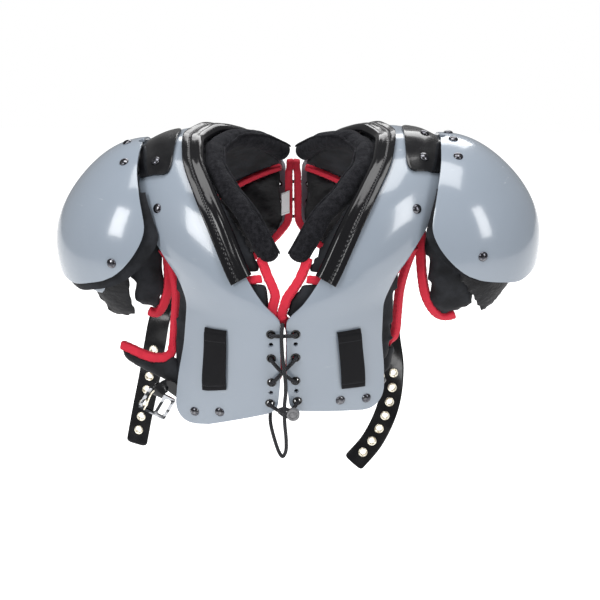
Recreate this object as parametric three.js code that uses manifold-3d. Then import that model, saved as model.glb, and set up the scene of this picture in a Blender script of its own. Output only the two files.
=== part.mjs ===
// A football shoulder pad set, held up by its shoulders with its belts hanging.
// Millimetres, +Z up. The chest faces -Y, and left and right are as seen from the front.
// The origin lies between the wearer's shoulders, where the pads rest on them.
import * as THREE from "three";
import { mergeVertices } from "three/addons/utils/BufferGeometryUtils.js";
import Module from "manifold-3d";

const wasm = await Module();
wasm.setup();

// Arch plates: one bent sheet a side, from the chest over the shoulder to the back.
const archHalfWidth = 151; // centre line to an arch's outer edge over the shoulder
const archHalfDepth = 134; // shoulder line to the chest face beside the lacing
const archDrop = 236; // shoulders down to the front hem
const plateWall = 3;
const hemOuterCorner = 24; // radius of the rounded lower corners
const hemInnerCorner = 10;

// Shoulder caps: a stiff dome, its foam, a smaller shell under it and that one's pad.
const capReach = 98; // hinge line to the dome's outermost point
const capHalfDepth = 102; // half of the dome, front to back
const capDrop = 107; // top of the dome down to its widest level
const capWall = 3;
const capFlat = 0.05; // how much the dome's outer slope is flattened, a share of its radius
const capFoam = 7;
const innerCapWall = 2.5;
const capPadThick = 8;
const armPadThick = 8;

// Soft pads and their tape.
const padThick = 15;
const padEdge = 6; // thickness left at a pad's pinched edge
const backPadThick = 13;
const tapeWide = 8;
const tapeThick = 7;
const wingLength = 64;
const wingHeight = 36;
const wingThick = 11;
const wingTuck = 5; // how far the lower end of its root lies back, behind the buckle strap

// Collar: the channel trim on the neck edge and the padded roll inside it.
const trimFlange = 16; // width of the flange lying on the plate
const trimThick = 2.6;
const trimBead = 6; // how far the bead stands past the plate's edge
const trimDeep = 6; // how far the bead reaches down inside
const rollWide = 21;
const rollDeep = 19;

// Straps, belts and metal.
const strapThick = 2;
const hingeStrapFront = 43; // hinge strap, in front of the shoulder line
const hingeStrapBack = 26;
const hingeStrapOnPlate = 42; // how far the strap reaches in over the plate
const hingeStrapUnderCap = 26; // how far it reaches out under the dome
const beltWide = 24;
const beltThick = 2.4;
const beltHole = 3.2; // radius of a belt's holes
const beltPitch = 17;
const beltHoles = 7;
const buckleStrapWide = 13;
const buckleStrapThick = 1.8;
const buckleTall = 27;
const buckleBar = 3; // width of the frame's bars
const buckleDeep = 2.8;
const strapWindow = 14.5; // the frame's window for the strap
const prongWindow = 7; // its other window
const keeperWide = 25;
const keeperTall = 55;
const keeperThick = 2;
const rivetRadius = 4.8;
const rivetHigh = 2.4;
const rivetSeat = 0.8; // from a rivet's flat foot to the curved face under it
const facetDrop = 0.75; // how much lower a dome's or strap's flat facets lie under a rivet
const cordRadius = 1.9;
const cordStep = 6.5; // length of cord between its sections
const eyelet = 3.3; // radius of the lace holes in the plates
const lockRadius = 6.5;
const lockThick = 6;
const lockCentre = [9.7, -142, -223];
const labelWide = 11;
const labelTall = 26;
const labelThick = 0.8;

// Clearances.
const seat = 0.35; // between pieces that touch
const layerGap = 1.3; // between curved layers, whose facets then touch at about the seat
const capGap = 2.1; // the same between the layers of a shoulder cap, which curve more
const sideGap = 0.6; // between a pad's edge and its tape
const laceRoom = 6.5; // the pads stand back this far behind the lacing

// The two sides hang a little differently. Millimetres and degrees: rise and out move the
// shoulder end, the hem columns move the lower front corner and lift turns the dome up.
const sides = [
  { name: "left", sign: -1, rise: -3, out: 0, hemOut: 12, hemForward: 8, hemDrop: 16, lift: -1,
    cross: -5, wingFold: 0,
    capRimRows: [[-90, 80], [-68, 98], [-58, 109], [-50, 109], [-42, 102], [0, 92], [60, 98], [90, 80]],
    padRimRows: [[-82, 128], [-74, 134], [-66, 127], [-58, 132], [-50, 123], [-42, 110], [-20, 104],
      [0, 100], [40, 106], [82, 100]],
    armPad: { from: -108.8, to: -82, top: 70, hem: 127 }, keeper: { u: 0.62, v: 1.7, lean: 0.02 } },
  { name: "right", sign: 1, rise: 5, out: 5, hemOut: 0, hemForward: 0, hemDrop: 0, lift: 5,
    cross: 7.5, wingFold: 75,
    capRimRows: [[-90, 80], [-60, 98], [-46, 108], [-30, 114], [-10, 108], [0, 100], [60, 98], [90, 80]],
    padRimRows: [[-82, 104], [-70, 118], [-60, 136], [-48, 134], [-36, 127], [-15, 121], [0, 116],
      [40, 108], [82, 100]],
    armPad: { from: -110, to: -66, top: 70, hem: 138 }, keeper: { u: 0.63, v: 1.55, lean: -0.05 } },
];

// Stations of an arch plate, front hem to back hem. x columns are shares of archHalfWidth,
// y of archHalfDepth and z of archDrop. bulge is the crown of the section, a share of
// archHalfWidth.
const stationColumns = ["inX", "inY", "inZ", "outX", "outY", "outZ", "bulge"];
const stations = {
  hem: [0.04, -0.978, -0.953, 0.67, -0.769, -1.0, 0.026],
  lower: [0.02, -0.993, -0.79, 0.662, -0.731, -0.815, 0.046],
  waist: [0.02, -1.0, -0.636, 0.642, -0.724, -0.657, 0.06],
  breast: [0.02, -1.0, -0.547, 0.642, -0.716, -0.538, 0.06],
  notch: [0.132, -0.978, -0.458, 0.702, -0.694, -0.419, 0.06],
  collar: [0.238, -0.925, -0.356, 0.795, -0.657, -0.322, 0.053],
  throat: [0.391, -0.754, -0.157, 0.92, -0.537, -0.178, 0.046],
  slope: [0.497, -0.56, -0.047, 0.974, -0.373, -0.063, 0.046],
  shoulder: [0.583, -0.313, 0.042, 1.0, -0.187, 0.009, 0.046],
  ridge: [0.603, -0.06, 0.085, 1.0, 0.015, 0.038, 0.046],
  nape: [0.53, 0.224, 0.085, 0.967, 0.269, 0.017, 0.046],
  yoke: [0.371, 0.537, 0.025, 0.894, 0.537, -0.085, 0.053],
  blade: [0.199, 0.821, -0.101, 0.795, 0.776, -0.288, 0.06],
  spine: [0.06, 0.925, -0.22, 0.728, 0.836, -0.445, 0.06],
  back: [0.053, 0.948, -0.466, 0.695, 0.843, -0.635, 0.06],
  flare: [0.28, 0.925, -0.678, 0.695, 0.821, -0.784, 0.04],
  tail: [0.4, 0.875, -0.83, 0.689, 0.784, -0.899, 0.026],
};
const at = Object.fromEntries(Object.keys(stations).map((name, index) => [name, index]));
const stationCount = Object.keys(stations).length;

const mix = (a, b, t) => a + (b - a) * t;
const clamp = (x, low = 0, high = 1) => Math.min(high, Math.max(low, x));
const smooth = (a, b, x) => {
  const t = clamp((x - a) / (b - a));
  return t * t * (3 - 2 * t);
};
const radians = THREE.MathUtils.degToRad;
const vec = (x, y, z) => new THREE.Vector3(x, y, z);

// A smooth curve through rows of [place, value] that never overshoots them.
function curve(rows) {
  const slope = (i) => (rows[i + 1][1] - rows[i][1]) / (rows[i + 1][0] - rows[i][0]);
  const tangent = rows.map((row, i) => {
    if (i === 0) return slope(0);
    if (i === rows.length - 1) return slope(i - 1);
    const before = slope(i - 1);
    const after = slope(i);
    return before * after <= 0 ? 0 : (2 * before * after) / (before + after);
  });
  return (x) => {
    if (x <= rows[0][0]) return rows[0][1] + tangent[0] * (x - rows[0][0]);
    const last = rows.length - 1;
    if (x >= rows[last][0]) return rows[last][1] + tangent[last] * (x - rows[last][0]);
    const i = rows.findIndex((row, k) => k < last && x < rows[k + 1][0]);
    const h = rows[i + 1][0] - rows[i][0];
    const t = (x - rows[i][0]) / h;
    const a = rows[i][1] * (1 + 2 * t) * (1 - t) ** 2 + rows[i + 1][1] * t * t * (3 - 2 * t);
    return a + h * (tangent[i] * t * (1 - t) ** 2 - tangent[i + 1] * t * t * (1 - t));
  };
}

// A closed mesh from rings of points, each ring the section of a bar, with flat end caps.
function skin(rings, mirrored) {
  const count = rings[0].length;
  const points = rings.flat();
  const faces = [];
  for (let i = 0; i + 1 < rings.length; i += 1) {
    for (let j = 0; j < count; j += 1) {
      const a = i * count + j;
      const b = i * count + ((j + 1) % count);
      faces.push([a, b, a + count], [b, b + count, a + count]);
    }
  }
  const ends = (start, flip) => {
    const flat = THREE.ShapeUtils.triangulateShape(flatten(rings[start / count]), []);
    flat.forEach(([a, b, c]) => faces.push(flip ? [start + a, start + c, start + b]
      : [start + a, start + b, start + c]));
  };
  ends(0, true);
  ends(points.length - count, false);
  return solid(points, faces, mirrored);
}

// A ring laid flat in its own plane, for filling its end.
function flatten(ring) {
  const across = ring[1].clone().sub(ring[0]).normalize();
  const normal = vec(0, 0, 0);
  ring.forEach((point, i) => {
    const a = point.clone().sub(ring[0]);
    const b = ring[(i + 1) % ring.length].clone().sub(ring[0]);
    normal.add(a.cross(b));
  });
  normal.normalize();
  const up = normal.clone().cross(across);
  return ring.map((point) => new THREE.Vector2(point.clone().sub(ring[0]).dot(across),
    point.clone().sub(ring[0]).dot(up)));
}

function solid(points, faces, mirrored) {
  const geometry = new THREE.BufferGeometry();
  const numbers = points.flatMap((p) => [mirrored ? -p.x : p.x, p.y, p.z]);
  geometry.setAttribute("position", new THREE.Float32BufferAttribute(numbers, 3));
  geometry.setIndex(faces.flatMap(([a, b, c]) => (mirrored ? [a, c, b] : [a, b, c])));
  return geometry;
}

// A closed slab over a grid: place(s, t) gives the point and its outward normal, and
// low and high the slab's two faces, in millimetres along the normal.
function slab(place, columns, rows, low, high, mirrored) {
  const points = [];
  for (const face of [high, low]) {
    for (const t of rows) {
      for (const s of columns) {
        const { point, normal } = place(s, t);
        points.push(point.clone().addScaledVector(normal, face(s, t)));
      }
    }
  }
  const wide = columns.length;
  const tall = rows.length;
  const under = wide * tall;
  const faces = [];
  for (let j = 0; j + 1 < tall; j += 1) {
    for (let i = 0; i + 1 < wide; i += 1) {
      const a = j * wide + i;
      faces.push([a, a + 1, a + wide], [a + 1, a + wide + 1, a + wide]);
      faces.push([under + a, under + a + wide, under + a + 1]);
      faces.push([under + a + 1, under + a + wide, under + a + wide + 1]);
    }
  }
  const edge = [];
  for (let i = 0; i < wide - 1; i += 1) edge.push(i);
  for (let j = 0; j < tall - 1; j += 1) edge.push(j * wide + wide - 1);
  for (let i = wide - 1; i > 0; i -= 1) edge.push((tall - 1) * wide + i);
  for (let j = tall - 1; j > 0; j -= 1) edge.push(j * wide);
  edge.forEach((a, k) => {
    const b = edge[(k + 1) % edge.length];
    faces.push([a, under + a, b], [b, under + a, under + b]);
  });
  return solid(points, faces, mirrored);
}

const steps = (count, from = 0, to = 1) =>
  Array.from({ length: count + 1 }, (unused, i) => mix(from, to, i / count));

// A surface is a function of (u, v). This adds its outward normal.
function framed(surface) {
  const small = 0.01;
  return (u, v) => {
    const point = surface(u, v);
    const du = surface(u + small, v).sub(surface(u - small, v));
    const dv = surface(u, v + small).sub(surface(u, v - small));
    return { point, normal: du.cross(dv).normalize(), along: dv.normalize() };
  };
}

// The frames along a route of [u, v] rows drawn on a surface.
function route(frame, rows, count) {
  const u = curve(rows.map((row, i) => [i / (rows.length - 1), row[0]]));
  const v = curve(rows.map((row, i) => [i / (rows.length - 1), row[1]]));
  return steps(count).map((t) => frame(u(t), v(t)));
}

// A flat strip along frames, width across them and low to high along their normals.
function strip(frames, width, low, high, mirrored) {
  const rings = frames.map((frame, i) => {
    const before = frames[Math.max(i - 1, 0)].point;
    const after = frames[Math.min(i + 1, frames.length - 1)].point;
    const tangent = after.clone().sub(before).normalize();
    const across = tangent.clone().cross(frame.normal).normalize();
    const up = across.clone().cross(tangent).normalize();
    const value = (given) => (typeof given === "function" ? given(i / (frames.length - 1)) : given);
    const half = value(width) / 2;
    const bottom = value(low);
    const top = value(high);
    return [[-half, bottom], [-half, top], [half, top], [half, bottom]].map(
      ([x, z]) => frame.point.clone().addScaledVector(across, x).addScaledVector(up, z));
  });
  return skin(rings, mirrored);
}

// The arch surface of one side, as if it were on +X: u runs from the neck edge (0) to the
// outer edge (1) and v through the stations.
function archSurface(side) {
  const rows = Object.values(stations);
  const column = Object.fromEntries(stationColumns.map((name, k) => [name,
    curve(rows.map((row, index) => [index, row[k]]))]));
  const shaped = (x, y, z) => {
    const share = x / archHalfWidth;
    const low = y < 0 ? smooth(-0.4, -1, z / archDrop) : 0;
    const hem = low * share * 1.5;
    const end = smooth(0.3, 1, share) * smooth(-0.7, -0.1, z / archDrop);
    return vec(x + side.hemOut * hem + side.out * end, y - side.hemForward * hem,
      z - side.hemDrop * low * Math.min(1, share * 2.2) + side.rise * end);
  };
  const ruled = (u, v) => {
    const inner = vec(column.inX(v) * archHalfWidth, column.inY(v) * archHalfDepth,
      column.inZ(v) * archDrop);
    const outer = vec(column.outX(v) * archHalfWidth, column.outY(v) * archHalfDepth,
      column.outZ(v) * archDrop);
    return shaped(...inner.lerp(outer, u).toArray());
  };
  const flat = framed(ruled);
  const surface = (u, v) => {
    const { point, normal } = flat(u, v);
    return point.addScaledVector(normal, column.bulge(v) * archHalfWidth * 4 * u * (1 - u));
  };
  const width = (v) => ruled(1, v).distanceTo(ruled(0, v));
  return { frame: framed(surface), width };
}

// A place on the arch, millimetres from its neck edge or past its outer edge.
const fromNeck = (arch, v, distance) => distance / arch.width(v);
const pastOuter = (arch, v, distance) => 1 + distance / arch.width(v);

// The dome surface of one side, as if it were on +X: u is the compass angle in degrees,
// -90 front, 0 outwards and 90 back, and v the angle down from the top.
function capHinge(side, arch) {
  const edge = arch.frame(1, at.ridge).point;
  return vec(edge.x - 2, 0, edge.z + 2.8 * layerGap + strapThick + capWall);
}

function capSurface(side, arch) {
  const hinge = capHinge(side, arch);
  const lift = radians(side.lift);
  const surface = (u, v) => {
    const turn = radians(u);
    const fall = radians(v);
    const flat = 1 - capFlat * Math.max(Math.cos(turn), 0) * Math.sin(2 * fall) ** 2;
    const reach = v <= 90 ? Math.sin(fall) : mix(1, Math.sin(fall), 0.5);
    const x = capReach * reach * Math.cos(turn) * flat;
    const y = capHalfDepth * reach * Math.sin(turn);
    const z = capDrop * (Math.cos(fall) * flat - 1);
    return vec(hinge.x + x * Math.cos(lift) - z * Math.sin(lift), y,
      hinge.z + z * Math.cos(lift) + x * Math.sin(lift));
  };
  const small = 0.2;
  return (u, v) => {
    const point = surface(u, v);
    const down = surface(u, v + small).sub(surface(u, v - small));
    const round = surface(u + small, Math.max(v, 1)).sub(surface(u - small, Math.max(v, 1)));
    return { point, normal: down.cross(round).normalize() };
  };
}

// The dome's angles over a point dx out from the hinge and dy back from the shoulder line.
function capAngles(dx, dy) {
  const x = dx / capReach;
  const y = dy / capHalfDepth;
  return [THREE.MathUtils.radToDeg(Math.atan2(y, x)),
    THREE.MathUtils.radToDeg(Math.asin(Math.min(1, Math.hypot(x, y))))];
}

// Rim of the dome, by compass angle: how far down its edge lies, in degrees from the top.
const capRim = curve([[-104, 80], [-95, 85], [-80, 92], [-62, 98], [-40, 103], [-22, 102],
  [0, 95], [22, 102], [40, 103], [62, 98], [80, 92], [95, 85], [104, 80]]);
// How far the dome's chest edge reaches round, by angle down from the top.
const capChestEdge = curve([[0, 90], [25, 91], [50, 95], [72, 98], [92, 94], [110, 90]]);

function toManifold(geometry) {
  const bare = geometry.clone();
  bare.deleteAttribute("normal");
  bare.deleteAttribute("uv");
  const merged = mergeVertices(bare, 1e-4);
  return new wasm.Manifold(new wasm.Mesh({
    numProp: 3,
    vertProperties: Float32Array.from(merged.attributes.position.array),
    triVerts: Uint32Array.from(merged.index.array),
  }));
}

function fromManifold(body) {
  const mesh = body.getMesh();
  const geometry = new THREE.BufferGeometry();
  geometry.setAttribute("position", new THREE.BufferAttribute(mesh.vertProperties, 3));
  geometry.setIndex(new THREE.BufferAttribute(mesh.triVerts, 1));
  return geometry;
}

// Round holes through a sheet, one at each frame.
function drilled(geometry, frames, radius, mirrored) {
  let body = toManifold(geometry);
  for (const { point, normal } of frames) {
    const drill = new THREE.CylinderGeometry(radius, radius, 16, 8);
    drill.applyQuaternion(new THREE.Quaternion().setFromUnitVectors(vec(0, 1, 0), normal));
    drill.translate(point.x, point.y, point.z);
    if (mirrored) drill.applyMatrix4(new THREE.Matrix4().makeScale(-1, 1, 1));
    if (mirrored) drill.setIndex(Array.from(drill.index.array).reverse());
    body = body.subtract(toManifold(drill));
  }
  return fromManifold(body);
}

// The pieces are collected as they are made.
const root = new THREE.Group();
const looks = {
  plate: { color: 0xaeb6be, roughness: 0.28, metalness: 0 },
  vinyl: { color: 0x111214, roughness: 0.25, metalness: 0 },
  foam: { color: 0x2b2d33, roughness: 0.9, metalness: 0 },
  fleece: { color: 0x1f2024, roughness: 1, metalness: 0 },
  nylon: { color: 0x16171a, roughness: 0.7, metalness: 0 },
  tape: { color: 0xb8142c, roughness: 0.8, metalness: 0 },
  chrome: { color: 0xd5d8dc, roughness: 0.12, metalness: 1 },
  darkNickel: { color: 0x34363b, roughness: 0.25, metalness: 1 },
  cord: { color: 0x151517, roughness: 0.9, metalness: 0 },
  plastic: { color: 0x2a2a2c, roughness: 0.5, metalness: 0 },
  white: { color: 0xe9e9ec, roughness: 0.8, metalness: 0 },
};

function add(name, geometry, look) {
  const mesh = new THREE.Mesh(geometry, new THREE.MeshStandardMaterial(looks[look]));
  mesh.name = name;
  root.add(mesh);
}

// Lacing: the stations of the eyelets and vent holes down each front and back edge.
const eyeletStations = [2.5, 1.58, 0.9, 0.3];
const eyeletInset = 8.5; // from the plate's edge to the eyelets' centres
const backEyeletStations = [13.3, 13.65, 14];
const backEyeletInset = 10;

function eyelets(arch, places, inset) {
  return places.map((v) => arch.frame(fromNeck(arch, v, inset), v));
}

// The stations at which the plate and what follows its edge are sectioned.
const trimFrom = at.collar;
const trimTo = 11.35;
const archRows = [0, 0.06, 0.2, 0.45, 1, 2, 3, 3.5, 4, 4.5, trimFrom, 5.5, 6, 6.6, 7.2, 7.8, 8.4, 9,
  9.6, 10.2, 10.8, trimTo, 12, 12.55, 13.1, 14, 14.7, 15.1, 15.6, 15.9, 16];
const archRowsFrom = (from, to) => archRows.filter((v) => v >= from && v <= to);

function archPlate(side, arch, mirrored) {
  const lengthTo = (v, end) => arch.frame(0.5, v).point.distanceTo(arch.frame(0.5, end).point);
  const inset = (v, radius) => {
    const end = v < stationCount / 2 ? 0 : stationCount - 1;
    const distance = lengthTo(v, end);
    if (distance >= radius) return 0;
    return radius - Math.sqrt(radius ** 2 - (radius - distance) ** 2);
  };
  const place = (s, v) => {
    const first = fromNeck(arch, v, inset(v, hemInnerCorner));
    const last = pastOuter(arch, v, -inset(v, hemOuterCorner));
    return arch.frame(mix(first, last, s), v);
  };
  const sheet = slab(place, steps(6), archRows, () => -plateWall, () => 0, mirrored);
  const holes = [...eyelets(arch, eyeletStations, eyeletInset),
    ...eyelets(arch, backEyeletStations, backEyeletInset)];
  add(`arch_plate_${side.name}`, drilled(sheet, holes, eyelet, mirrored), "plate");
}

// The channel trim: a ribbed flange on the plate, a bead past its edge and a lip inside.
function neckTrim(side, arch, mirrored) {
  const section = [
    [trimFlange, 1.35 * layerGap], [trimFlange, layerGap + trimThick * 0.7],
    [trimFlange * 0.6, layerGap + trimThick], [trimFlange * 0.3, layerGap + trimThick * 0.75],
    [0, layerGap + trimThick], [-trimBead, -trimDeep * 0.1], [-trimBead * 0.7, -trimDeep],
    [-2 * seat, -trimDeep], [-2 * seat, layerGap],
  ];
  const rings = archRowsFrom(trimFrom, trimTo).map((v) => {
    const { point, normal, along } = arch.frame(0, v);
    const across = along.clone().cross(normal).normalize();
    return section.map(([a, b]) => point.clone().addScaledVector(across, a)
      .addScaledVector(normal, b));
  });
  add(`neck_trim_${side.name}`, skin(rings.map((ring) => ring.reverse()), mirrored), "vinyl");
}

// The neck roll: how far its centre lies inside the plate's edge, by station.
const rollInset = curve([[5.2, 29], [6, 25], [7, 19.5], [8, 17.5], [11, 17.5], [12, 17.5], [12.6, 15]]);
const rollFrom = 5.05;
const rollTo = 12.42;
const rollDown = trimDeep + 3.5; // its centre below the plate's face

function neckRoll(side, arch, mirrored) {
  const last = 18;
  const rings = steps(last, rollFrom, rollTo).map((v, i) => {
    const { point, normal, along } = arch.frame(0, v);
    const across = along.clone().cross(normal).normalize();
    const centre = point.clone().addScaledVector(across, -rollInset(v))
      .addScaledVector(normal, -rollDown);
    const swell = i === 0 || i === last ? 0.75 : 1;
    return steps(7, 0, 7 / 8).map((share) => {
      const turn = share * 2 * Math.PI;
      return centre.clone().addScaledVector(across, (rollWide / 2) * swell * Math.cos(turn))
        .addScaledVector(normal, -(rollDeep / 2) * swell * Math.sin(turn));
    });
  });
  add(`neck_roll_${side.name}`, skin(rings, mirrored), "fleece");
}

// A pad's thickness over its grid: full in the middle and pinched at its edges.
const padGrid = [0, 0.08, 0.25, 0.5, 0.75, 0.92, 1];

function padded(thick) {
  return (s, t) => {
    const edge = Math.min(1, 5 * Math.min(s, 1 - s)) * Math.min(1, 5 * Math.min(t, 1 - t));
    return mix(padEdge, thick, Math.sqrt(edge));
  };
}

// The front pads' edges: veeInset is how far the neck edge stands inside the plate's edge and
// armholeReach how far the arm edge stands past the plate's, in millimetres by station.
const veeInset = curve([[0.5, 0], [2, 0], [3, 0.5], [3.5, 7], [4, 17], [4.6, 25], [5, 26], [5.3, 27]]);
const veeCross = curve([[2.5, 0], [3.3, 1], [4, 0.6], [5, 0]]); // where one pad crosses the other
const veeTop = 5.26;
const veeShift = (side, v) => veeCross(clamp(v, 2.5, 5)) * side.cross;
const armholeReach = curve([[1, 2], [1.6, 12], [2.2, 15], [3.2, 16], [4, 14], [4.7, 10], [5.4, 5]]);
const chestSeam = (u) => at.collar + 0.02 - 0.95 * u;
const padHem = (u) => 0.75 + 0.3 * smooth(0.5, 1, u);
const backSeam = 12.72;
const seamHalf = 0.2; // half of the gap that a seam tape fills, in stations
const backSeamHalf = 0.14;

// The face of the pads that looks at the plate: back from the lacing and the trim's lip.
function padFace(lacedTo, from) {
  return (s, v) => {
    const lace = laceRoom * smooth(0.36, 0.16, s) * lacedTo(v);
    const lip = from === "neck" ? (trimDeep - plateWall) * smooth(0.4, 0.15, s) : 0;
    return -plateWall - layerGap - Math.max(lace, lip);
  };
}

// How much wider a tape is when it is measured along a row: edge(v) is the u that it follows.
function slant(arch, edge, v) {
  const step = 0.06;
  const place = (station) => arch.frame(edge(station), station).point;
  const along = place(v + step).sub(place(v - step)).normalize();
  const row = arch.frame(edge(v) + step, v).point.sub(arch.frame(edge(v) - step, v).point);
  return 1 / along.cross(row.normalize()).length();
}
const neckEdge = (arch, inset) => (v) => fromNeck(arch, v, -inset(v));
const armEdge = (arch) => (v) => pastOuter(arch, v, armholeReach(v));

function chestPad(side, arch, mirrored) {
  const vee = (v) => veeInset(v) + veeShift(side, v);
  const place = (s, t) => {
    const v = mix(padHem(s), chestSeam(s) - seamHalf, t);
    const inner = (tapeWide + 2 * sideGap) * slant(arch, neckEdge(arch, vee), v) - vee(v);
    const first = fromNeck(arch, v, inner);
    const last = pastOuter(arch, v, armholeReach(v));
    return arch.frame(mix(first, last, s), v);
  };
  const face = padFace((v) => smooth(3.2, 2.7, v));
  const near = (s, t) => face(s, mix(padHem(s), at.collar, t));
  const thick = padded(padThick);
  const far = (s, t) => Math.min(near(s, t) - padEdge, -plateWall - layerGap - thick(s, t));
  add(`chest_pad_${side.name}`, slab(place, padGrid, steps(8), far, near, mirrored), "foam");
}

const shoulderRows = [4.8, 5.1, 5.5, 6, ...archRowsFrom(6.6, backSeam - backSeamHalf)];

function shoulderPad(side, arch, mirrored) {
  const place = (s, t) => {
    const v = t + (chestSeam(s) + seamHalf - shoulderRows[0]) * clamp((6.6 - t) / (6.6 - shoulderRows[0]));
    const beside = rollInset(v) - rollWide / 2 - 3 * sideGap;
    const vee = veeInset(v) + veeShift(side, v) - tapeWide - 2 * sideGap;
    const inner = -mix(vee, beside, smooth(5.1, 5.4, v));
    const outer = mix(armholeReach(Math.min(v, 5.4)) - sideGap, 2, smooth(4.8, 6, v));
    return arch.frame(mix(fromNeck(arch, v, inner), pastOuter(arch, v, outer), s), v);
  };
  const face = padFace(() => 0, "neck");
  const near = (s, v) => face(s, v);
  const ends = [shoulderRows[0], shoulderRows[shoulderRows.length - 1]];
  const thick = (s, v) => padded(padThick)(s, (v - ends[0]) / (ends[1] - ends[0]));
  const far = (s, v) => Math.min(near(s, v) - padEdge, -plateWall - layerGap - thick(s, v));
  add(`shoulder_pad_${side.name}`, slab(place, padGrid, shoulderRows, far, near, mirrored), "foam");
}

// The back pads part below the lacing, so their centre edge runs down and away outwards.
const backInset = curve([[12.6, 12], [13, 8.4], [14, 7.4], [14.3, 9], [14.6, 7], [15, -2], [15.4, -14]]);
const backReach = 2;
const backPadEnd = 15.3;
const backRows = steps(9);

function backPad(side, arch, mirrored) {
  const place = (s, t) => {
    const v = mix(backSeam + backSeamHalf, backPadEnd, t);
    const inner = (tapeWide + 6 * sideGap) * slant(arch, neckEdge(arch, backInset), v) - backInset(v);
    return arch.frame(mix(fromNeck(arch, v, inner), pastOuter(arch, v, backReach), s), v);
  };
  const face = padFace((v) => smooth(12.6, 12.9, v) * smooth(14.6, 14.3, v));
  const near = (s, t) => face(s, mix(backSeam, backPadEnd, t));
  const thick = padded(backPadThick);
  const far = (s, t) => Math.min(near(s, t) - padEdge, -plateWall - layerGap - thick(s, t));
  add(`back_pad_${side.name}`, slab(place, padGrid, backRows, far, near, mirrored), "nylon");
}

// Tapes bound round the pads' edges, each a bar along its edge.
function edgeTapes(side, arch, mirrored) {
  const edge = (inset) => (v) => [fromNeck(arch, v,
    (tapeWide / 2) * slant(arch, neckEdge(arch, inset), v) - inset(v)), v];
  const lace = (from, to) => (t) => {
    const v = mix(from, to, t);
    return -plateWall - layerGap - laceRoom * smooth(3.2, 2.7, v) * smooth(0, 0.5, v);
  };
  const vee = (v) => veeInset(v) + veeShift(side, v);
  const veeTo = 0.8;
  const veeFrames = steps(16, veeTo, veeTop).map(edge(vee)).map(([u, v]) => arch.frame(u, v));
  const veeHigh = lace(veeTo, veeTop);
  add(`neck_edge_tape_${side.name}`, strip(veeFrames, tapeWide, (t) => veeHigh(t) - tapeThick,
    veeHigh, mirrored), "tape");

  const firstU = (v) => fromNeck(arch, v,
    (tapeWide + 3 * sideGap) * slant(arch, neckEdge(arch, vee), v) - vee(v));
  const seamRows = steps(8).map((t) => {
    const v = chestSeam(t);
    return arch.frame(mix(firstU(v), pastOuter(arch, v, armholeReach(v) - 2 * sideGap), t), v);
  });
  add(`chest_seam_tape_${side.name}`, strip(seamRows, 6.5, -plateWall - layerGap - tapeThick,
    -plateWall - layerGap, mirrored), "tape");

  const arm = steps(10, 1.75, 4.95).map((v) => arch.frame(pastOuter(arch, v,
    armholeReach(v) + sideGap + (tapeWide / 2) * slant(arch, armEdge(arch), v)), v));
  add(`armhole_tape_${side.name}`, strip(arm, tapeWide, -plateWall - layerGap - tapeThick,
    -plateWall - layerGap, mirrored), "tape");

  const backPlaces = [12.62, ...backRows.map((t) => mix(backSeam + backSeamHalf, backPadEnd, t))];
  const backHigh = (t) => {
    const v = backPlaces[Math.round(t * (backPlaces.length - 1))];
    return -plateWall - layerGap - laceRoom * smooth(12.6, 12.9, v) * smooth(14.6, 14.3, v);
  };
  const centre = backPlaces.map(edge(backInset)).map(([u, v]) => arch.frame(u, v));
  add(`back_edge_tape_${side.name}`, strip(centre, tapeWide, (t) => backHigh(t) - tapeThick,
    backHigh, mirrored), "tape");

  const backSeamRows = steps(8).map((t) => {
    const first = fromNeck(arch, backSeam,
      (tapeWide + 7 * sideGap) * slant(arch, neckEdge(arch, backInset), backSeam) - backInset(backSeam));
    return arch.frame(mix(first, pastOuter(arch, backSeam, backReach), t), backSeam);
  });
  add(`back_seam_tape_${side.name}`, strip(backSeamRows, 6.5,
    -trimDeep - layerGap - tapeThick, -trimDeep - layerGap, mirrored), "tape");
}

// The wing of the chest pad that closes under the arm. Its left one stands out sideways and
// its right one is folded back. Rows run from root to tip; out and up are shares of
// wingLength, and low and high of wingHeight.
const wingRows = [
  { out: 0, back: 0, low: -0.5, high: 0.5 },
  { out: 0.22, back: 0.05, low: -0.34, high: 0.24 },
  { out: 0.5, back: 0.12, low: -0.16, high: 0.2 },
  { out: 0.8, back: 0.24, low: 0.04, high: 0.36 },
  { out: 0.98, back: 0.32, low: 0.2, high: 0.42 },
];
const wingRoot = { low: 0.68, middle: 1.08, high: 1.5 }; // stations along its root

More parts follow.
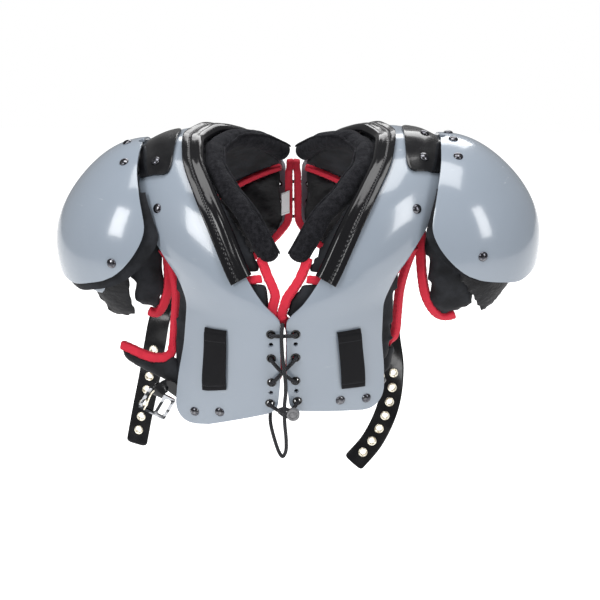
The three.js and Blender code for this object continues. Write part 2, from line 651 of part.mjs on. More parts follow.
function wing(side, arch, mirrored) {
  const fold = radians(side.wingFold);
  const beside = (v) => {
    const reach = armholeReach(Math.max(v, padHem(1))) + 3 * sideGap
      + 0.35 * wingThick * Math.sin(fold);
    const { point, normal } = arch.frame(pastOuter(arch, v, reach), v);
    const tuck = wingTuck * smooth(wingRoot.high, wingRoot.low, v);
    return point.addScaledVector(normal, -plateWall - layerGap - padEdge / 2 - tuck);
  };
  const middle = beside(wingRoot.middle);
  const keys = ["out", "back", "low", "high"];
  const column = Object.fromEntries(keys.map((key) => [key,
    curve(wingRows.map((row, i) => [i / (wingRows.length - 1), row[key]]))]));
  const surface = (u, v) => {
    const out = column.out(u) * wingLength;
    const back = column.back(u) * wingLength;
    const up = mix(column.low(u), column.high(u), v) * wingHeight;
    const flat = vec(out * Math.cos(fold) - back * Math.sin(fold),
      out * Math.sin(fold) + back * Math.cos(fold), up);
    const upright = vec(0, 0, (v - 0.5) * wingHeight);
    const sewn = beside(mix(wingRoot.low, wingRoot.high, v)).sub(middle).sub(upright);
    return flat.add(middle).addScaledVector(sewn, Math.max(0, 1 - 2 * u) ** 2);
  };
  const frame = framed(surface);
  const thick = (s, t) => (wingThick / 2) * Math.sqrt(Math.min(1, 0.35 + 6 * Math.min(t, 1 - t, 1 - s)));
  add(`under_arm_pad_${side.name}`, slab(frame, steps(7), [0, 0.12, 0.5, 0.88, 1],
    (s, t) => -thick(s, t), thick, mirrored), "foam");
  const top = steps(7, 0.1, 1).map((t) => {
    const { point, normal } = frame(t, 1);
    return { point: point.add(vec(0, 0, 3 * sideGap + 3.15)), normal };
  });
  add(`under_arm_tape_${side.name}`, strip(top, 6, -wingThick * 0.4, wingThick * 0.4, mirrored), "tape");
}

// Layers of the shoulder cap, each measured inwards from the dome's outer face.
const foamTop = capWall + capGap;
const innerCapTop = foamTop + capFoam + capGap;
const capPadTop = innerCapTop + innerCapWall + capGap;
const armPadTop = capPadTop + capPadThick + layerGap;

// A layer of the cap from the start angle down to its rim, round to reach on both sides.
function capLayer(cap, { columns, rows, start, rim, reach, high, low, mirrored }) {
  const place = (s, t) => {
    const guess = mix(start(0), 90, t);
    const u = mix(reach(guess), -reach(guess), s);
    return cap(u, mix(start(u), rim(u), t));
  };
  return slab(place, steps(columns), rows, (s, t) => -low(s, t), (s, t) => -high(s, t), mirrored);
}

function shoulderCap(side, arch, mirrored) {
  const cap = capSurface(side, arch);
  const rows = [0, 0.09, 0.2, 0.36, 0.52, 0.68, 0.84, 1];
  add(`epaulet_${side.name}`, capLayer(cap, { columns: 14, rows, start: () => 3, rim: capRim,
    reach: capChestEdge, high: () => 0, low: () => capWall, mirrored }), "plate");

  const foamStart = curve([[-104, 44], [-90, 44], [-62, 39], [-40, 32], [0, 26], [60, 32],
    [90, 44], [104, 44]]);
  const pinch = (top, thick) => (s, t) => top + thick * mix(0.55, 1, Math.sqrt(Math.min(1,
    8 * Math.min(s, 1 - s, t, 1 - t))));
  add(`epaulet_foam_${side.name}`, capLayer(cap, { columns: 12, rows: [0, 0.1, 0.28, 0.46, 0.64, 0.82, 1],
    start: foamStart, rim: (u) => capRim(u) + 4.5, reach: (v) => capChestEdge(v) + 4,
    high: () => foamTop, low: pinch(foamTop, capFoam), mirrored }), "foam");

  add(`deltoid_cap_${side.name}`, capLayer(cap, { columns: 12, rows: steps(5),
    start: (u) => foamStart(u) - 2, rim: curve(side.capRimRows), reach: () => 82, high: () => innerCapTop,
    low: () => innerCapTop + innerCapWall, mirrored }), "plate");

  add(`deltoid_pad_${side.name}`, capLayer(cap, { columns: 14, rows: steps(6),
    start: (u) => foamStart(u) + 4, rim: curve(side.padRimRows), reach: () => 82, high: () => capPadTop,
    low: pinch(capPadTop, capPadThick), mirrored }), "nylon");

  // The arm pad hangs in front, inside the caps, with its tape round the chest side and hem.
  const { from, to, top, hem } = side.armPad;
  const outline = (s, t) => {
    const corner = 0.3 * Math.max(0, 1 - 4 * s) ** 2;
    return [mix(from, to, s), mix(top, mix(hem, hem - 6, s) - corner * (hem - top), t)];
  };
  const place = (s, t) => cap(...outline(1 - s, t));
  add(`arm_pad_${side.name}`, slab(place, [0, 0.15, 0.45, 0.75, 0.9, 1], [0, 0.15, 0.5, 0.85, 1],
    (s, t) => -pinch(armPadTop, armPadThick)(s, t), () => -armPadTop, mirrored), "foam");
  const degree = (mm) => THREE.MathUtils.radToDeg(mm / (capHalfDepth - armPadTop));
  const shift = degree(tapeWide / 2 + 6 * sideGap);
  const loop = [[from - shift, top], [from - shift, mix(top, hem, 0.45)],
    [from - shift * 0.8, mix(top, hem, 0.7)], [mix(from, to, 0.1), mix(top, hem, 0.93) + shift],
    [mix(from, to, 0.3), hem + shift * 1.1], [mix(from, to, 0.55), hem - 3 + shift * 1.1]];
  add(`arm_pad_tape_${side.name}`, strip(route(cap, loop, 14), tapeWide,
    -armPadTop - tapeThick, -armPadTop, mirrored), "tape");
  return cap;
}

// The hinge strap lies over the arch and under the dome, and rivets to both.
function hingeStrap(side, arch, cap, mirrored) {
  const stationOf = curve(steps(40, 7, 11.5).map((v) => [arch.frame(1, v).point.y, v]));
  const mouth = (s, t) => {
    const y = mix(-hingeStrapFront, hingeStrapBack, t);
    const round = 0.24 * Math.max(0, Math.abs(2 * t - 1) - 0.6) / 0.4;
    const v = stationOf(y);
    const onPlate = (share) => {
      const { point, normal } = arch.frame(pastOuter(arch, v, -hingeStrapOnPlate * share), v);
      return point.addScaledVector(normal, layerGap);
    };
    const underCap = (share) => {
      const [u, down] = capAngles(hingeStrapUnderCap * share, y);
      const { point, normal } = cap(u, down);
      return point.addScaledVector(normal, -capWall - layerGap - strapThick);
    };
    const stops = [onPlate(1 - round), onPlate(0.5), onPlate(0.08), underCap(0.18), underCap(0.5),
      underCap(1)];
    return new THREE.CatmullRomCurve3(stops, false, "centripetal").getPoint(clamp(s, -0.01, 1.01));
  };
  const small = 0.01;
  const frame = (s, t) => {
    const a = clamp(s, small, 1 - small);
    const b = clamp(t, small, 1 - small);
    const ds = mouth(a + small, b).sub(mouth(a - small, b));
    const dt = mouth(a, b + small).sub(mouth(a, b - small));
    return { point: mouth(s, t), normal: ds.cross(dt).normalize() };
  };
  add(`hinge_strap_${side.name}`, slab(frame, steps(8), [0, 0.1, 0.3, 0.5, 0.7, 0.9, 1],
    () => 0, () => strapThick, mirrored), "vinyl");
  return (s, t) => {
    const { point, normal } = frame(s, t);
    return { point: point.addScaledVector(normal, strapThick), normal };
  };
}

// Elastic keepers: two flat loops on the chest that hold the belts' ends.
function keeper(side, arch, mirrored) {
  const { u, v } = side.keeper;
  const stationLength = arch.frame(u, v).point.distanceTo(arch.frame(u, v + 1).point);
  const half = keeperTall / 2 / stationLength;
  const wide = keeperWide / arch.width(v);
  const place = (s, t) => arch.frame(u + (s - 0.5) * wide + side.keeper.lean * (t - 0.5),
    v + (2 * t - 1) * half);
  add(`belt_keeper_${side.name}`, slab(place, steps(2), steps(5), () => seat,
    () => seat + keeperThick, mirrored), "vinyl");
}

// A rear belt: riveted to the back plate, round its outer edge, then hanging free. Places on
// the plate are [u, station]; hanging rows are out, back and down in shares of beltFall from
// the plate's lower outer edge, and turn is the way the belt faces, in degrees from the front.
const beltFall = 190;
const beltColumns = ["out", "back", "down", "turn"];
const hangingBelts = {
  left: [[0.06, 0.03, -0.02, 120], [0.19, -0.03, 0.05, 60], [0.26, -0.15, 0.16, 22],
    [0.3, -0.19, 0.34, 12], [0.34, -0.22, 0.55, 12], [0.39, -0.27, 0.78, 14],
    [0.43, -0.32, 0.98, 16]],
  right: [[0.04, 0.02, 0.02, 100], [0.06, -0.1, 0.16, 50], [0.06, -0.2, 0.3, 30],
    [0.07, -0.28, 0.46, 15], [0.04, -0.36, 0.66, 0], [-0.05, -0.42, 0.86, -12],
    [-0.17, -0.47, 1.0, -22]],
};

function rearBelt(side, arch, mirrored) {
  const lift = layerGap + beltThick / 2;
  const onPlate = [[0.62, 14.7], [0.8, 14.9], [0.95, 15.05]].map(([u, v]) => {
    const { point, normal } = arch.frame(u, v);
    return { point: point.addScaledVector(normal, lift), normal };
  });
  const edge = arch.frame(1, 15.15).point;
  const hanging = hangingBelts[side.name].map((row) => {
    const place = Object.fromEntries(beltColumns.map((name, k) => [name, row[k]]));
    const turn = radians(place.turn);
    return {
      point: vec(edge.x + place.out * beltFall, edge.y + place.back * beltFall,
        edge.z - place.down * beltFall),
      normal: vec(Math.sin(turn), -Math.cos(turn), 0),
    };
  });
  const stops = [...onPlate, ...hanging];
  const path = new THREE.CatmullRomCurve3(stops.map((stop) => stop.point), false, "centripetal");
  const facing = new THREE.CatmullRomCurve3(stops.map((stop) => stop.normal), false, "centripetal");
  const frames = steps(22).map((t) => ({ point: path.getPoint(t),
    normal: facing.getPoint(t).normalize() }));
  const taper = (t) => beltWide * (t > 0.97 ? 0.6 : 1);
  const belt = strip(frames, taper, -beltThick / 2, beltThick / 2, mirrored);
  const length = path.getLength();
  const holes = steps(beltHoles - 1).map((t) => {
    const along = 1 - (18 + t * (beltHoles - 1) * beltPitch) / length;
    const time = path.getUtoTmapping(along);
    return { point: path.getPoint(time), normal: facing.getPoint(time).normalize() };
  });
  add(`rear_belt_${side.name}`, drilled(belt, holes, beltHole, mirrored), "vinyl");
}

// A label sewn on the left centre tape of the back, on the side that faces the wearer.
const labelFrom = 13.45;

function label(arch, mirrored) {
  const depth = -plateWall - layerGap - laceRoom - tapeThick - 2 * seat;
  const station = arch.frame(0, labelFrom).point.distanceTo(arch.frame(0, labelFrom + 1).point);
  const place = (s, t) => {
    const v = labelFrom + (t * labelTall) / station;
    return arch.frame(fromNeck(arch, v, labelWide * (s - 0.14) - backInset(v)), v);
  };
  add("label_left", slab(place, steps(2), steps(3), () => depth - labelThick, () => depth, mirrored),
    "white");
}

// Turns a finished geometry over to -X.
function flipped(geometry) {
  geometry.applyMatrix4(new THREE.Matrix4().makeScale(-1, 1, 1));
  geometry.setIndex(Array.from(geometry.index.array).reverse());
  return geometry;
}

// A riveted head: a low dome on its frame's face.
function rivet(name, { point, normal }, height, mirrored) {
  const profile = [[0, 0], [1, 0], [0.94, 0.45], [0.6, 0.88], [0, 1]].map(
    ([r, h]) => new THREE.Vector2(r * rivetRadius, h * rivetHigh));
  const head = new THREE.LatheGeometry(profile, 8);
  head.applyQuaternion(new THREE.Quaternion().setFromUnitVectors(vec(0, 1, 0), normal));
  const foot = point.clone().addScaledVector(normal, height);
  head.translate(foot.x, foot.y, foot.z);
  const whole = fromManifold(toManifold(head));
  add(name, mirrored ? flipped(whole) : whole, "darkNickel");
}

function rivets(side, arch, cap, strap, mirrored) {
  rivet(`strap_rivet_${side.name}`, strap(0.17, 0.16), rivetSeat - facetDrop, mirrored);
  rivet(`epaulet_rivet_${side.name}`, cap(...capAngles(14, -40)), rivetSeat - facetDrop,
    mirrored);
  rivet(`hem_rivet_${side.name}`, arch.frame(0.8, 0.3), rivetSeat, mirrored);
}

// A double-window frame and the strap that joins it to the plate. The strap is riveted inside
// the plate, comes out past its edge and folds round the top bar of the wider window. bar is
// that bar's middle and lead the strap's places on the way to it, all three measured from the
// plate's edge. out and down are the ways the frame runs along the bar and away from it.
const buckleStation = 0.64; // where the strap passes the plate's edge
const buckles = {
  left: { bar: [19.8, 4.4, -0.6], out: [0.87, 0, 0.5], down: [0.5, 0, -0.87],
    lead: [[7.8, 8.6, 6.5], [13.3, 3.8, 5.9]] },
  right: { bar: [-4.5, 21.3, -11.5], out: [0.05, 0.1, 0.99], down: [-0.05, 0.99, -0.1],
    lead: [[-2, 6.3, -9.5], [-0.5, 12.8, -11]] },
};

function buckle(side, arch, mirrored) {
  const edge = arch.frame(1, buckleStation).point;
  const { lead } = buckles[side.name];
  const bar = vec(...buckles[side.name].bar).add(edge);
  const out = vec(...buckles[side.name].out).normalize();
  const front = vec(...buckles[side.name].down).cross(out).normalize();
  const down = out.clone().cross(front);
  const wide = 3 * buckleBar + strapWindow + prongWindow;
  const outline = [[0, 0], [wide, 0], [wide, buckleTall], [0, buckleTall]];
  const shape = new THREE.Shape(outline.map(([x, y]) => new THREE.Vector2(x, y)));
  const strapMiddle = wide - buckleBar - strapWindow / 2;
  const windows = [[buckleBar, buckleBar + prongWindow, 1.5 * buckleBar],
    [2 * buckleBar + prongWindow, wide - buckleBar, buckleBar]];
  for (const [from, to, low] of windows) {
    const high = buckleTall - low;
    shape.holes.push(new THREE.Path([[from, low], [to, low], [to, high], [from, high]].map(
      ([x, y]) => new THREE.Vector2(x, y))));
  }
  const frame = new THREE.ExtrudeGeometry(shape, { depth: buckleDeep, bevelEnabled: false });
  frame.translate(-strapMiddle, -buckleTall + buckleBar / 2, -buckleDeep / 2);
  frame.applyMatrix4(new THREE.Matrix4().makeBasis(out, down.clone().negate(), front).setPosition(bar));
  const whole = fromManifold(toManifold(frame));
  add(`buckle_${side.name}`, mirrored ? flipped(whole) : whole, "chrome");

  const under = -plateWall - 0.6 * layerGap - buckleStrapThick / 2;
  const rooted = [[0.72, 0.42], [0.88, 0.54], [1, buckleStation]].map(([u, v]) => {
    const { point, normal } = arch.frame(u, v);
    return { point: point.addScaledVector(normal, under), normal };
  });
  const led = lead.map((place, i) => ({ point: vec(...place).add(edge),
    normal: rooted[2].normal.clone().lerp(front, (i + 1) / (lead.length + 1)).normalize() }));
  const fold = buckleDeep / 2 + seat + buckleStrapThick / 2 + sideGap;
  const leg = (share, sign) => ({ point: bar.clone().addScaledVector(front, sign * fold)
    .addScaledVector(down, -share), normal: front.clone().multiplyScalar(sign) });
  const round = steps(6).map((share) => {
    const turn = share * Math.PI;
    const normal = front.clone().multiplyScalar(Math.cos(turn))
      .addScaledVector(down, Math.sin(turn));
    return { point: bar.clone().addScaledVector(normal, fold), normal };
  });
  const frames = [...rooted, ...led, leg(3.5, 1), ...round, leg(5, -1), leg(9, -1)];
  add(`buckle_strap_${side.name}`, strip(frames, buckleStrapWide, -buckleStrapThick / 2,
    buckleStrapThick / 2, mirrored), "vinyl");
}

// A cord along points, as one round bar.
function cord(name, points) {
  const path = new THREE.CatmullRomCurve3(points.map((p) => vec(...p)), false, "centripetal");
  const ring = steps(7, 0, 7 / 8).map((share) => new THREE.Vector2(
    cordRadius * Math.cos(share * 2 * Math.PI), cordRadius * Math.sin(share * 2 * Math.PI)));
  const bar = new THREE.ExtrudeGeometry(new THREE.Shape(ring), { extrudePath: path,
    steps: Math.round(path.getLength() / cordStep), bevelEnabled: false });
  add(name, fromManifold(toManifold(bar)), "cord");
}

// Lacing through a row of holes, each [side, index], by turns inwards and outwards from the
// first. Each stretch in front bows out by the next of lifts.
function laced(stationsOfHoles, inset, rows, inwards, lifts, start, end) {
  const points = [...start];
  const place = ([name, index]) => {
    const side = sides.find((each) => each.name === name);
    const { point, normal } = eyelets(archSurface(side), stationsOfHoles, inset)[index];
    const flip = vec(side.sign, 1, 1);
    return { point: point.multiply(flip), normal: normal.multiply(flip) };
  };
  const near = cordRadius + 2 * seat;
  rows.forEach((row, i) => {
    const { point, normal } = place(row);
    const depths = [near, -plateWall / 2, -plateWall - near];
    const goesIn = (i % 2 === 0) === inwards;
    if (!goesIn) depths.reverse();
    depths.forEach((depth) => points.push(point.clone().addScaledVector(normal, depth).toArray()));
    if (goesIn || i === rows.length - 1) return;
    const next = place(rows[i + 1]);
    const middle = point.clone().lerp(next.point, 0.5).addScaledVector(normal, near + lifts.shift());
    points.push(middle.setX(0).toArray());
  });
  return [...points, ...end];
}

// The front is laced with one cord, knotted below. A second one hangs down its middle, makes
// a loop under the knot and ends behind the left plate, and the lock holds both.
function laces() {
  cord("front_lace", laced(eyeletStations, eyeletInset, [["left", 3], ["left", 2], ["right", 1],
    ["right", 0], ["left", 0], ["left", 1], ["right", 2], ["right", 3]], true, [0.8, 1.6, 5.2],
  [[-4.5, -137, -222.5]], [[8, -136.6, -221.5]]));
  cord("lace_loop", [[-0.9, -131.8, -128], [-0.9, -135.5, -130.5], [-1.2, -140, -134.5],
    [-1.2, -142.9, -141], [-0.6, -142.9, -156], [1.2, -146.2, -172], [2.2, -146.2, -182], [2.4, -143, -198],
    [1.2, -141.5, -212], [0.9, -142, -222], [1.2, -140, -236], [2.4, -137.6, -256],
    [1.6, -136.6, -270], [-1.5, -136.4, -275.5], [-5, -136.4, -270], [-9.4, -135.6, -256],
    [-13, -132.6, -242], [-14, -129, -236], [-14, -126, -231], [-14, -125.8, -224]]);
  cord("back_lace", laced(backEyeletStations, backEyeletInset, [["right", 2], ["left", 2],
    ["left", 1], ["right", 1], ["right", 0], ["left", 0]], false, [1, 1, 1],
  [[17.6, 120.8, -122]], [[-17.8, 119.6, -62]]));
  const disc = new THREE.CylinderGeometry(lockRadius, lockRadius, lockThick, 12);
  disc.translate(...lockCentre);
  add("cord_lock", fromManifold(toManifold(disc)), "plastic");
}

function build(side) {
  const arch = archSurface(side);
  const mirrored = side.sign < 0;
  archPlate(side, arch, mirrored);
  neckTrim(side, arch, mirrored);
  neckRoll(side, arch, mirrored);
  chestPad(side, arch, mirrored);
  shoulderPad(side, arch, mirrored);
  backPad(side, arch, mirrored);
  edgeTapes(side, arch, mirrored);
  wing(side, arch, mirrored);
  const cap = shoulderCap(side, arch, mirrored);
  const strap = hingeStrap(side, arch, cap, mirrored);
  keeper(side, arch, mirrored);
  rearBelt(side, arch, mirrored);
  buckle(side, arch, mirrored);
  rivets(side, arch, cap, strap, mirrored);
  if (mirrored) label(arch, mirrored);
}

sides.forEach(build);
laces();

export default root;
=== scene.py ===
import math
from types import SimpleNamespace

import bmesh
import bpy
import numpy as np
from mathutils import Matrix, Vector, noise


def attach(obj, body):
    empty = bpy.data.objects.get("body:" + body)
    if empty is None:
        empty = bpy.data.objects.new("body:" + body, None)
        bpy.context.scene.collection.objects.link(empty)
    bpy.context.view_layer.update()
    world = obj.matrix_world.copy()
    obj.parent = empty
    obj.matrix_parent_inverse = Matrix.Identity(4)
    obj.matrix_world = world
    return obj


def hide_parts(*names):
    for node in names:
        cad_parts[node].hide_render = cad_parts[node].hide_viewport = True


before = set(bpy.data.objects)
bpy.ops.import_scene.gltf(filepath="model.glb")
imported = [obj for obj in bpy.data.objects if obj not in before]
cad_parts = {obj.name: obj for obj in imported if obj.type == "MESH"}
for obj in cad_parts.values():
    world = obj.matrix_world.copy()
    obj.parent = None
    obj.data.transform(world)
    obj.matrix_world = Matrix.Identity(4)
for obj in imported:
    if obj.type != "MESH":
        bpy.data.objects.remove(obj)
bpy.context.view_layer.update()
scene = bpy.context.scene

# Camera
# The photograph looks down at the chest, from just right of the middle and with a long lens.
# The camera aims at the middle of the set, level with the lacing.
MM = 0.001
AIM = Vector((11.5, 0, -162)) * MM
AZIMUTH, ELEVATION = math.radians(2), math.radians(24)
CAMERA_AWAY, FOCAL, SENSOR = 1.25, 69.3, 36
camera = bpy.data.objects.new("camera", bpy.data.cameras.new("camera"))
camera.data.lens, camera.data.sensor_width = FOCAL, SENSOR
backwards = Vector((math.sin(AZIMUTH) * math.cos(ELEVATION),
                    -math.cos(AZIMUTH) * math.cos(ELEVATION), math.sin(ELEVATION)))
camera.location = AIM + backwards * CAMERA_AWAY
camera.rotation_euler = (-backwards).to_track_quat("-Z", "Y").to_euler()
scene.collection.objects.link(camera)
scene.camera = camera

# Light
# Broad soft panels stand in front on both sides, overhead and behind, in a white tent. They are
# what the glossy plastic and the metal reflect.
PANELS = {  # name: place, width and height in metres, and watts
    "front_left": ((-1.2, -1.5, 1.0), 0.7, 1.1, 26),
    "front_right": ((1.5, -1.2, 0.8), 0.5, 1.1, 15),
    "overhead": ((0.0, -0.1, 1.7), 1.6, 1.0, 30),
    "behind": ((0.2, 1.6, 1.0), 1.4, 0.8, 18),
}
for name, (place, wide, high, watts) in PANELS.items():
    panel = bpy.data.lights.new(name, "AREA")
    panel.shape = "RECTANGLE"
    panel.size, panel.size_y, panel.energy = wide, high, watts
    lamp = bpy.data.objects.new(name, panel)
    lamp.location = place
    lamp.rotation_euler = (AIM - Vector(place)).to_track_quat("-Z", "Y").to_euler()
    scene.collection.objects.link(lamp)
scene.world = bpy.data.worlds.new("tent")
scene.world.use_nodes = True
tent = scene.world.node_tree
tent.nodes["Background"].inputs["Color"].default_value = (1, 1, 1, 1)
TENT_LIGHT, TENT_SEEN = 0.27, 1.0  # how bright the tent's cloth lights the set, and looks
rays = tent.nodes.new("ShaderNodeLightPath")
bright = tent.nodes.new("ShaderNodeMapRange")
tent.links.new(rays.outputs["Is Camera Ray"], bright.inputs["Value"])
bright.inputs["To Min"].default_value, bright.inputs["To Max"].default_value = TENT_LIGHT, TENT_SEEN
tent.links.new(bright.outputs["Result"], tent.nodes["Background"].inputs["Strength"])
scene.view_settings.view_transform = "Standard"


# Floor
# A plain sheet of matt white board lies well below the hanging belts, lit from beneath, so that
# it is evenly white out to its edge, where the white tent begins.
class Reading:
    """The value of a node's socket, which can be used in sums."""

    def __init__(self, finish, socket):
        self.finish, self.socket = finish, socket

    def maths(self, operation, other=None):
        pair = {0: self} if other is None else {0: self, 1: other}
        return self.finish.node("ShaderNodeMath", {"operation": operation}, pair)

    def __add__(self, other):
        return self.maths("ADD", other)

    def __sub__(self, other):
        return self.maths("SUBTRACT", other)

    def __mul__(self, other):
        return self.maths("MULTIPLY", other)

    def rises(self, low, high):
        """0 below low and 1 above high, with a soft step between them."""
        settings = {"interpolation_type": "SMOOTHSTEP"}
        return self.finish.node("ShaderNodeMapRange", settings, {0: self, 1: low, 2: high})

    def wave(self):
        """From 0 to 1 and back as the value grows by 1."""
        return (self * math.tau).maths("COSINE") * -0.5 + 0.5


class Finish:
    """A material of the object: its uniform values, and a Principled shader to link more to."""

    def __init__(self, name, color, roughness, **uniform):
        self.material = bpy.data.materials.new(name)
        self.material.use_nodes = True
        self.nodes = self.material.node_tree.nodes
        self.shader = self.nodes["Principled BSDF"]
        self.set("Base Color", (*color, 1))
        self.set("Roughness", roughness)
        for socket, value in uniform.items():
            self.set(socket.replace("_", " ").title().replace("Ior", "IOR"), value)

    def plug(self, socket, value):
        if isinstance(value, Reading):
            self.material.node_tree.links.new(value.socket, socket)
        else:
            socket.default_value = value

    def set(self, socket, value):
        self.plug(self.shader.inputs[socket], value)

    def look(self, color, roughness, normal):
        self.set("Base Color", color)
        self.set("Roughness", roughness)
        self.set("Normal", normal)

    def node(self, kind, settings, inputs, output=0):
        made = self.nodes.new(kind)
        for setting, value in settings.items():
            setattr(made, setting, value)
        for socket, value in inputs.items():
            self.plug(made.inputs[socket], value)
        return Reading(self, made.outputs[output])

    def place(self, stretch=(1, 1, 1)):
        """The place on the object, in metres, stretched along its axes."""
        whole = self.node("ShaderNodeTexCoord", {}, {}, "Object")
        return self.node("ShaderNodeMapping", {}, {"Vector": whole, "Scale": stretch})

    def lie(self):
        """Places along a piece: across it or round it, and centimetres along it."""
        uv = self.node("ShaderNodeUVMap", {"uv_map": "lie"}, {})
        return [self.node("ShaderNodeSeparateXYZ", {}, {0: uv}, k) for k in (0, 1)]

    def noise(self, scale, detail=2.0, at=None, roughness=0.5):
        return self.node("ShaderNodeTexNoise", {}, {
            "Vector": at or self.place(), "Scale": scale, "Detail": detail, "Roughness": roughness})

    def cells(self, scale):
        return self.node("ShaderNodeTexVoronoi", {}, {"Vector": self.place(), "Scale": scale})

    def tint(self, plain, other, share):
        """A colour between plain and other, by share."""
        ends = [c if isinstance(c, Reading) else (*c, 1) for c in (plain, other)]
        return self.node("ShaderNodeMix", {"data_type": "RGBA"},
                         {0: share, 6: ends[0], 7: ends[1]}, 2)

    def relief(self, height, depth, strength=1.0, under=None):
        """Bumps of that depth in metres, over another relief if one is given."""
        sockets = {"Height": height, "Distance": depth, "Strength": strength}
        if under:
            sockets["Normal"] = under
        return self.node("ShaderNodeBump", {}, sockets)


def piece(name, shape, finish, slot=None, nodes=()):
    """An object of a finished bmesh, riding on the frame in place of its CAD nodes."""
    for face in shape.faces:
        face.smooth = True
    mesh = bpy.data.meshes.new(name)
    shape.to_mesh(mesh)
    shape.free()
    made = bpy.data.objects.new(name, mesh)
    scene.collection.objects.link(made)
    mesh.materials.append(finish.material)
    if slot:
        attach(made, "root")
        if nodes:
            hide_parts(*nodes)
    return made


FLOOR_Z = -0.62
FLOOR_HALF = 2.3
board = Finish("white_board", (0.9, 0.9, 0.9), 0.9, emission_strength=0.55)
board.set("Emission Color", (1, 1, 1, 1))
grain = board.noise(900, 3)
board.set("Base Color", board.tint((0.88, 0.88, 0.88), (0.93, 0.93, 0.93), grain))
board.set("Normal", board.relief(grain, 0.0001, 0.3))
sheet = bmesh.new()
bmesh.ops.create_grid(sheet, x_segments=1, y_segments=1, size=FLOOR_HALF,
                      matrix=Matrix.Translation((0, 0, FLOOR_Z)))
piece("floor", sheet, board)


# Arch plates
# Each half is one sheet of stiff glossy plastic, moulded to run from the chest over the shoulder
# to the back. Its edges are rounded over and its centre edges are punched for the lacing.
HALF_WIDTH, HALF_DEPTH, DROP = 151, 134, 236  # millimetres, as are all sizes from here on
PLATE_WALL = 3
HEM_OUTER_CORNER, HEM_INNER_CORNER = 24, 10
ARCH = {  # station: inner edge x, y, z, outer edge x, y, z and crown, as shares of the sizes
    "hem": (0.04, -0.978, -0.953, 0.67, -0.769, -1.0, 0.026),
    "lower": (0.02, -0.993, -0.79, 0.662, -0.731, -0.815, 0.046),
    "waist": (0.02, -1.0, -0.636, 0.642, -0.724, -0.657, 0.06),
    "breast": (0.02, -1.0, -0.547, 0.642, -0.716, -0.538, 0.06),
    "notch": (0.132, -0.978, -0.458, 0.702, -0.694, -0.419, 0.06),
    "collar": (0.238, -0.925, -0.356, 0.795, -0.657, -0.322, 0.053),
    "throat": (0.391, -0.754, -0.157, 0.92, -0.537, -0.178, 0.046),
    "slope": (0.497, -0.56, -0.047, 0.974, -0.373, -0.063, 0.046),
    "shoulder": (0.583, -0.313, 0.042, 1.0, -0.187, 0.009, 0.046),
    "ridge": (0.603, -0.06, 0.085, 1.0, 0.015, 0.038, 0.046),
    "nape": (0.53, 0.224, 0.085, 0.967, 0.269, 0.017, 0.046),
    "yoke": (0.371, 0.537, 0.025, 0.894, 0.537, -0.085, 0.053),
    "blade": (0.199, 0.821, -0.101, 0.795, 0.776, -0.288, 0.06),
    "spine": (0.06, 0.925, -0.22, 0.728, 0.836, -0.445, 0.06),
    "back": (0.053, 0.948, -0.466, 0.695, 0.843, -0.635, 0.06),
    "flare": (0.28, 0.925, -0.678, 0.695, 0.821, -0.784, 0.04),
    "tail": (0.4, 0.875, -0.83, 0.689, 0.784, -0.899, 0.026),
}
COLLAR, RIDGE, TAIL = 5, 9, 16  # numbers of the stations that other pieces are placed by


SIDES = [  # how far each half's shoulder rises and stands out, and its hem is pulled out, forward
    # and down, the dome's lift in degrees, and how far the chest pad's edge crosses inwards
    SimpleNamespace(name="left", sign=-1, rise=-3, out=0, hem_out=12, hem_forward=8, hem_drop=16,
                    lift=-1, cross=-5),
    SimpleNamespace(name="right", sign=1, rise=5, out=5, hem_out=0, hem_forward=0, hem_drop=0,
                    lift=5, cross=7.5),
]


def mix(a, b, t):
    return a + (b - a) * t


def smooth(low, high, x):
    t = np.clip((np.asarray(x, float) - low) / (high - low), 0, 1)
    return t * t * (3 - 2 * t)


def unit(v):
    return v / np.linalg.norm(v, axis=-1, keepdims=True)


def curve(rows):
    """A smooth curve through rows of (place, value) that never overshoots them."""
    at, value = np.array(rows, float).T
    slope = np.diff(value) / np.diff(at)
    product, total = slope[:-1] * slope[1:], slope[:-1] + slope[1:]
    inner = np.where(product > 0, 2 * product / np.where(product > 0, total, 1), 0)
    tangent = np.concatenate([slope[:1], inner, slope[-1:]])

    def follow(x):
        x = np.asarray(x, float)
        i = np.clip(np.searchsorted(at, x, side="right") - 1, 0, len(at) - 2)
        step = at[i + 1] - at[i]
        t = np.clip((x - at[i]) / step, 0, 1)
        near, far = (1 - t) ** 2, t * t
        between = value[i] * (1 + 2 * t) * near + value[i + 1] * far * (3 - 2 * t)
        bend = step * (tangent[i] * t * near - tangent[i + 1] * far * (1 - t))
        past = tangent[0] * np.minimum(x - at[0], 0) + tangent[-1] * np.maximum(x - at[-1], 0)
        return between + bend + past
    return follow


def framed(surface, step=0.01):
    """A surface's points with their outward normals and the way along them."""
    def frames(u, v):
        across = surface(u + step, v) - surface(u - step, v)
        along = surface(u, v + step) - surface(u, v - step)
        return surface(u, v), unit(np.cross(across, along)), unit(along)
    return frames


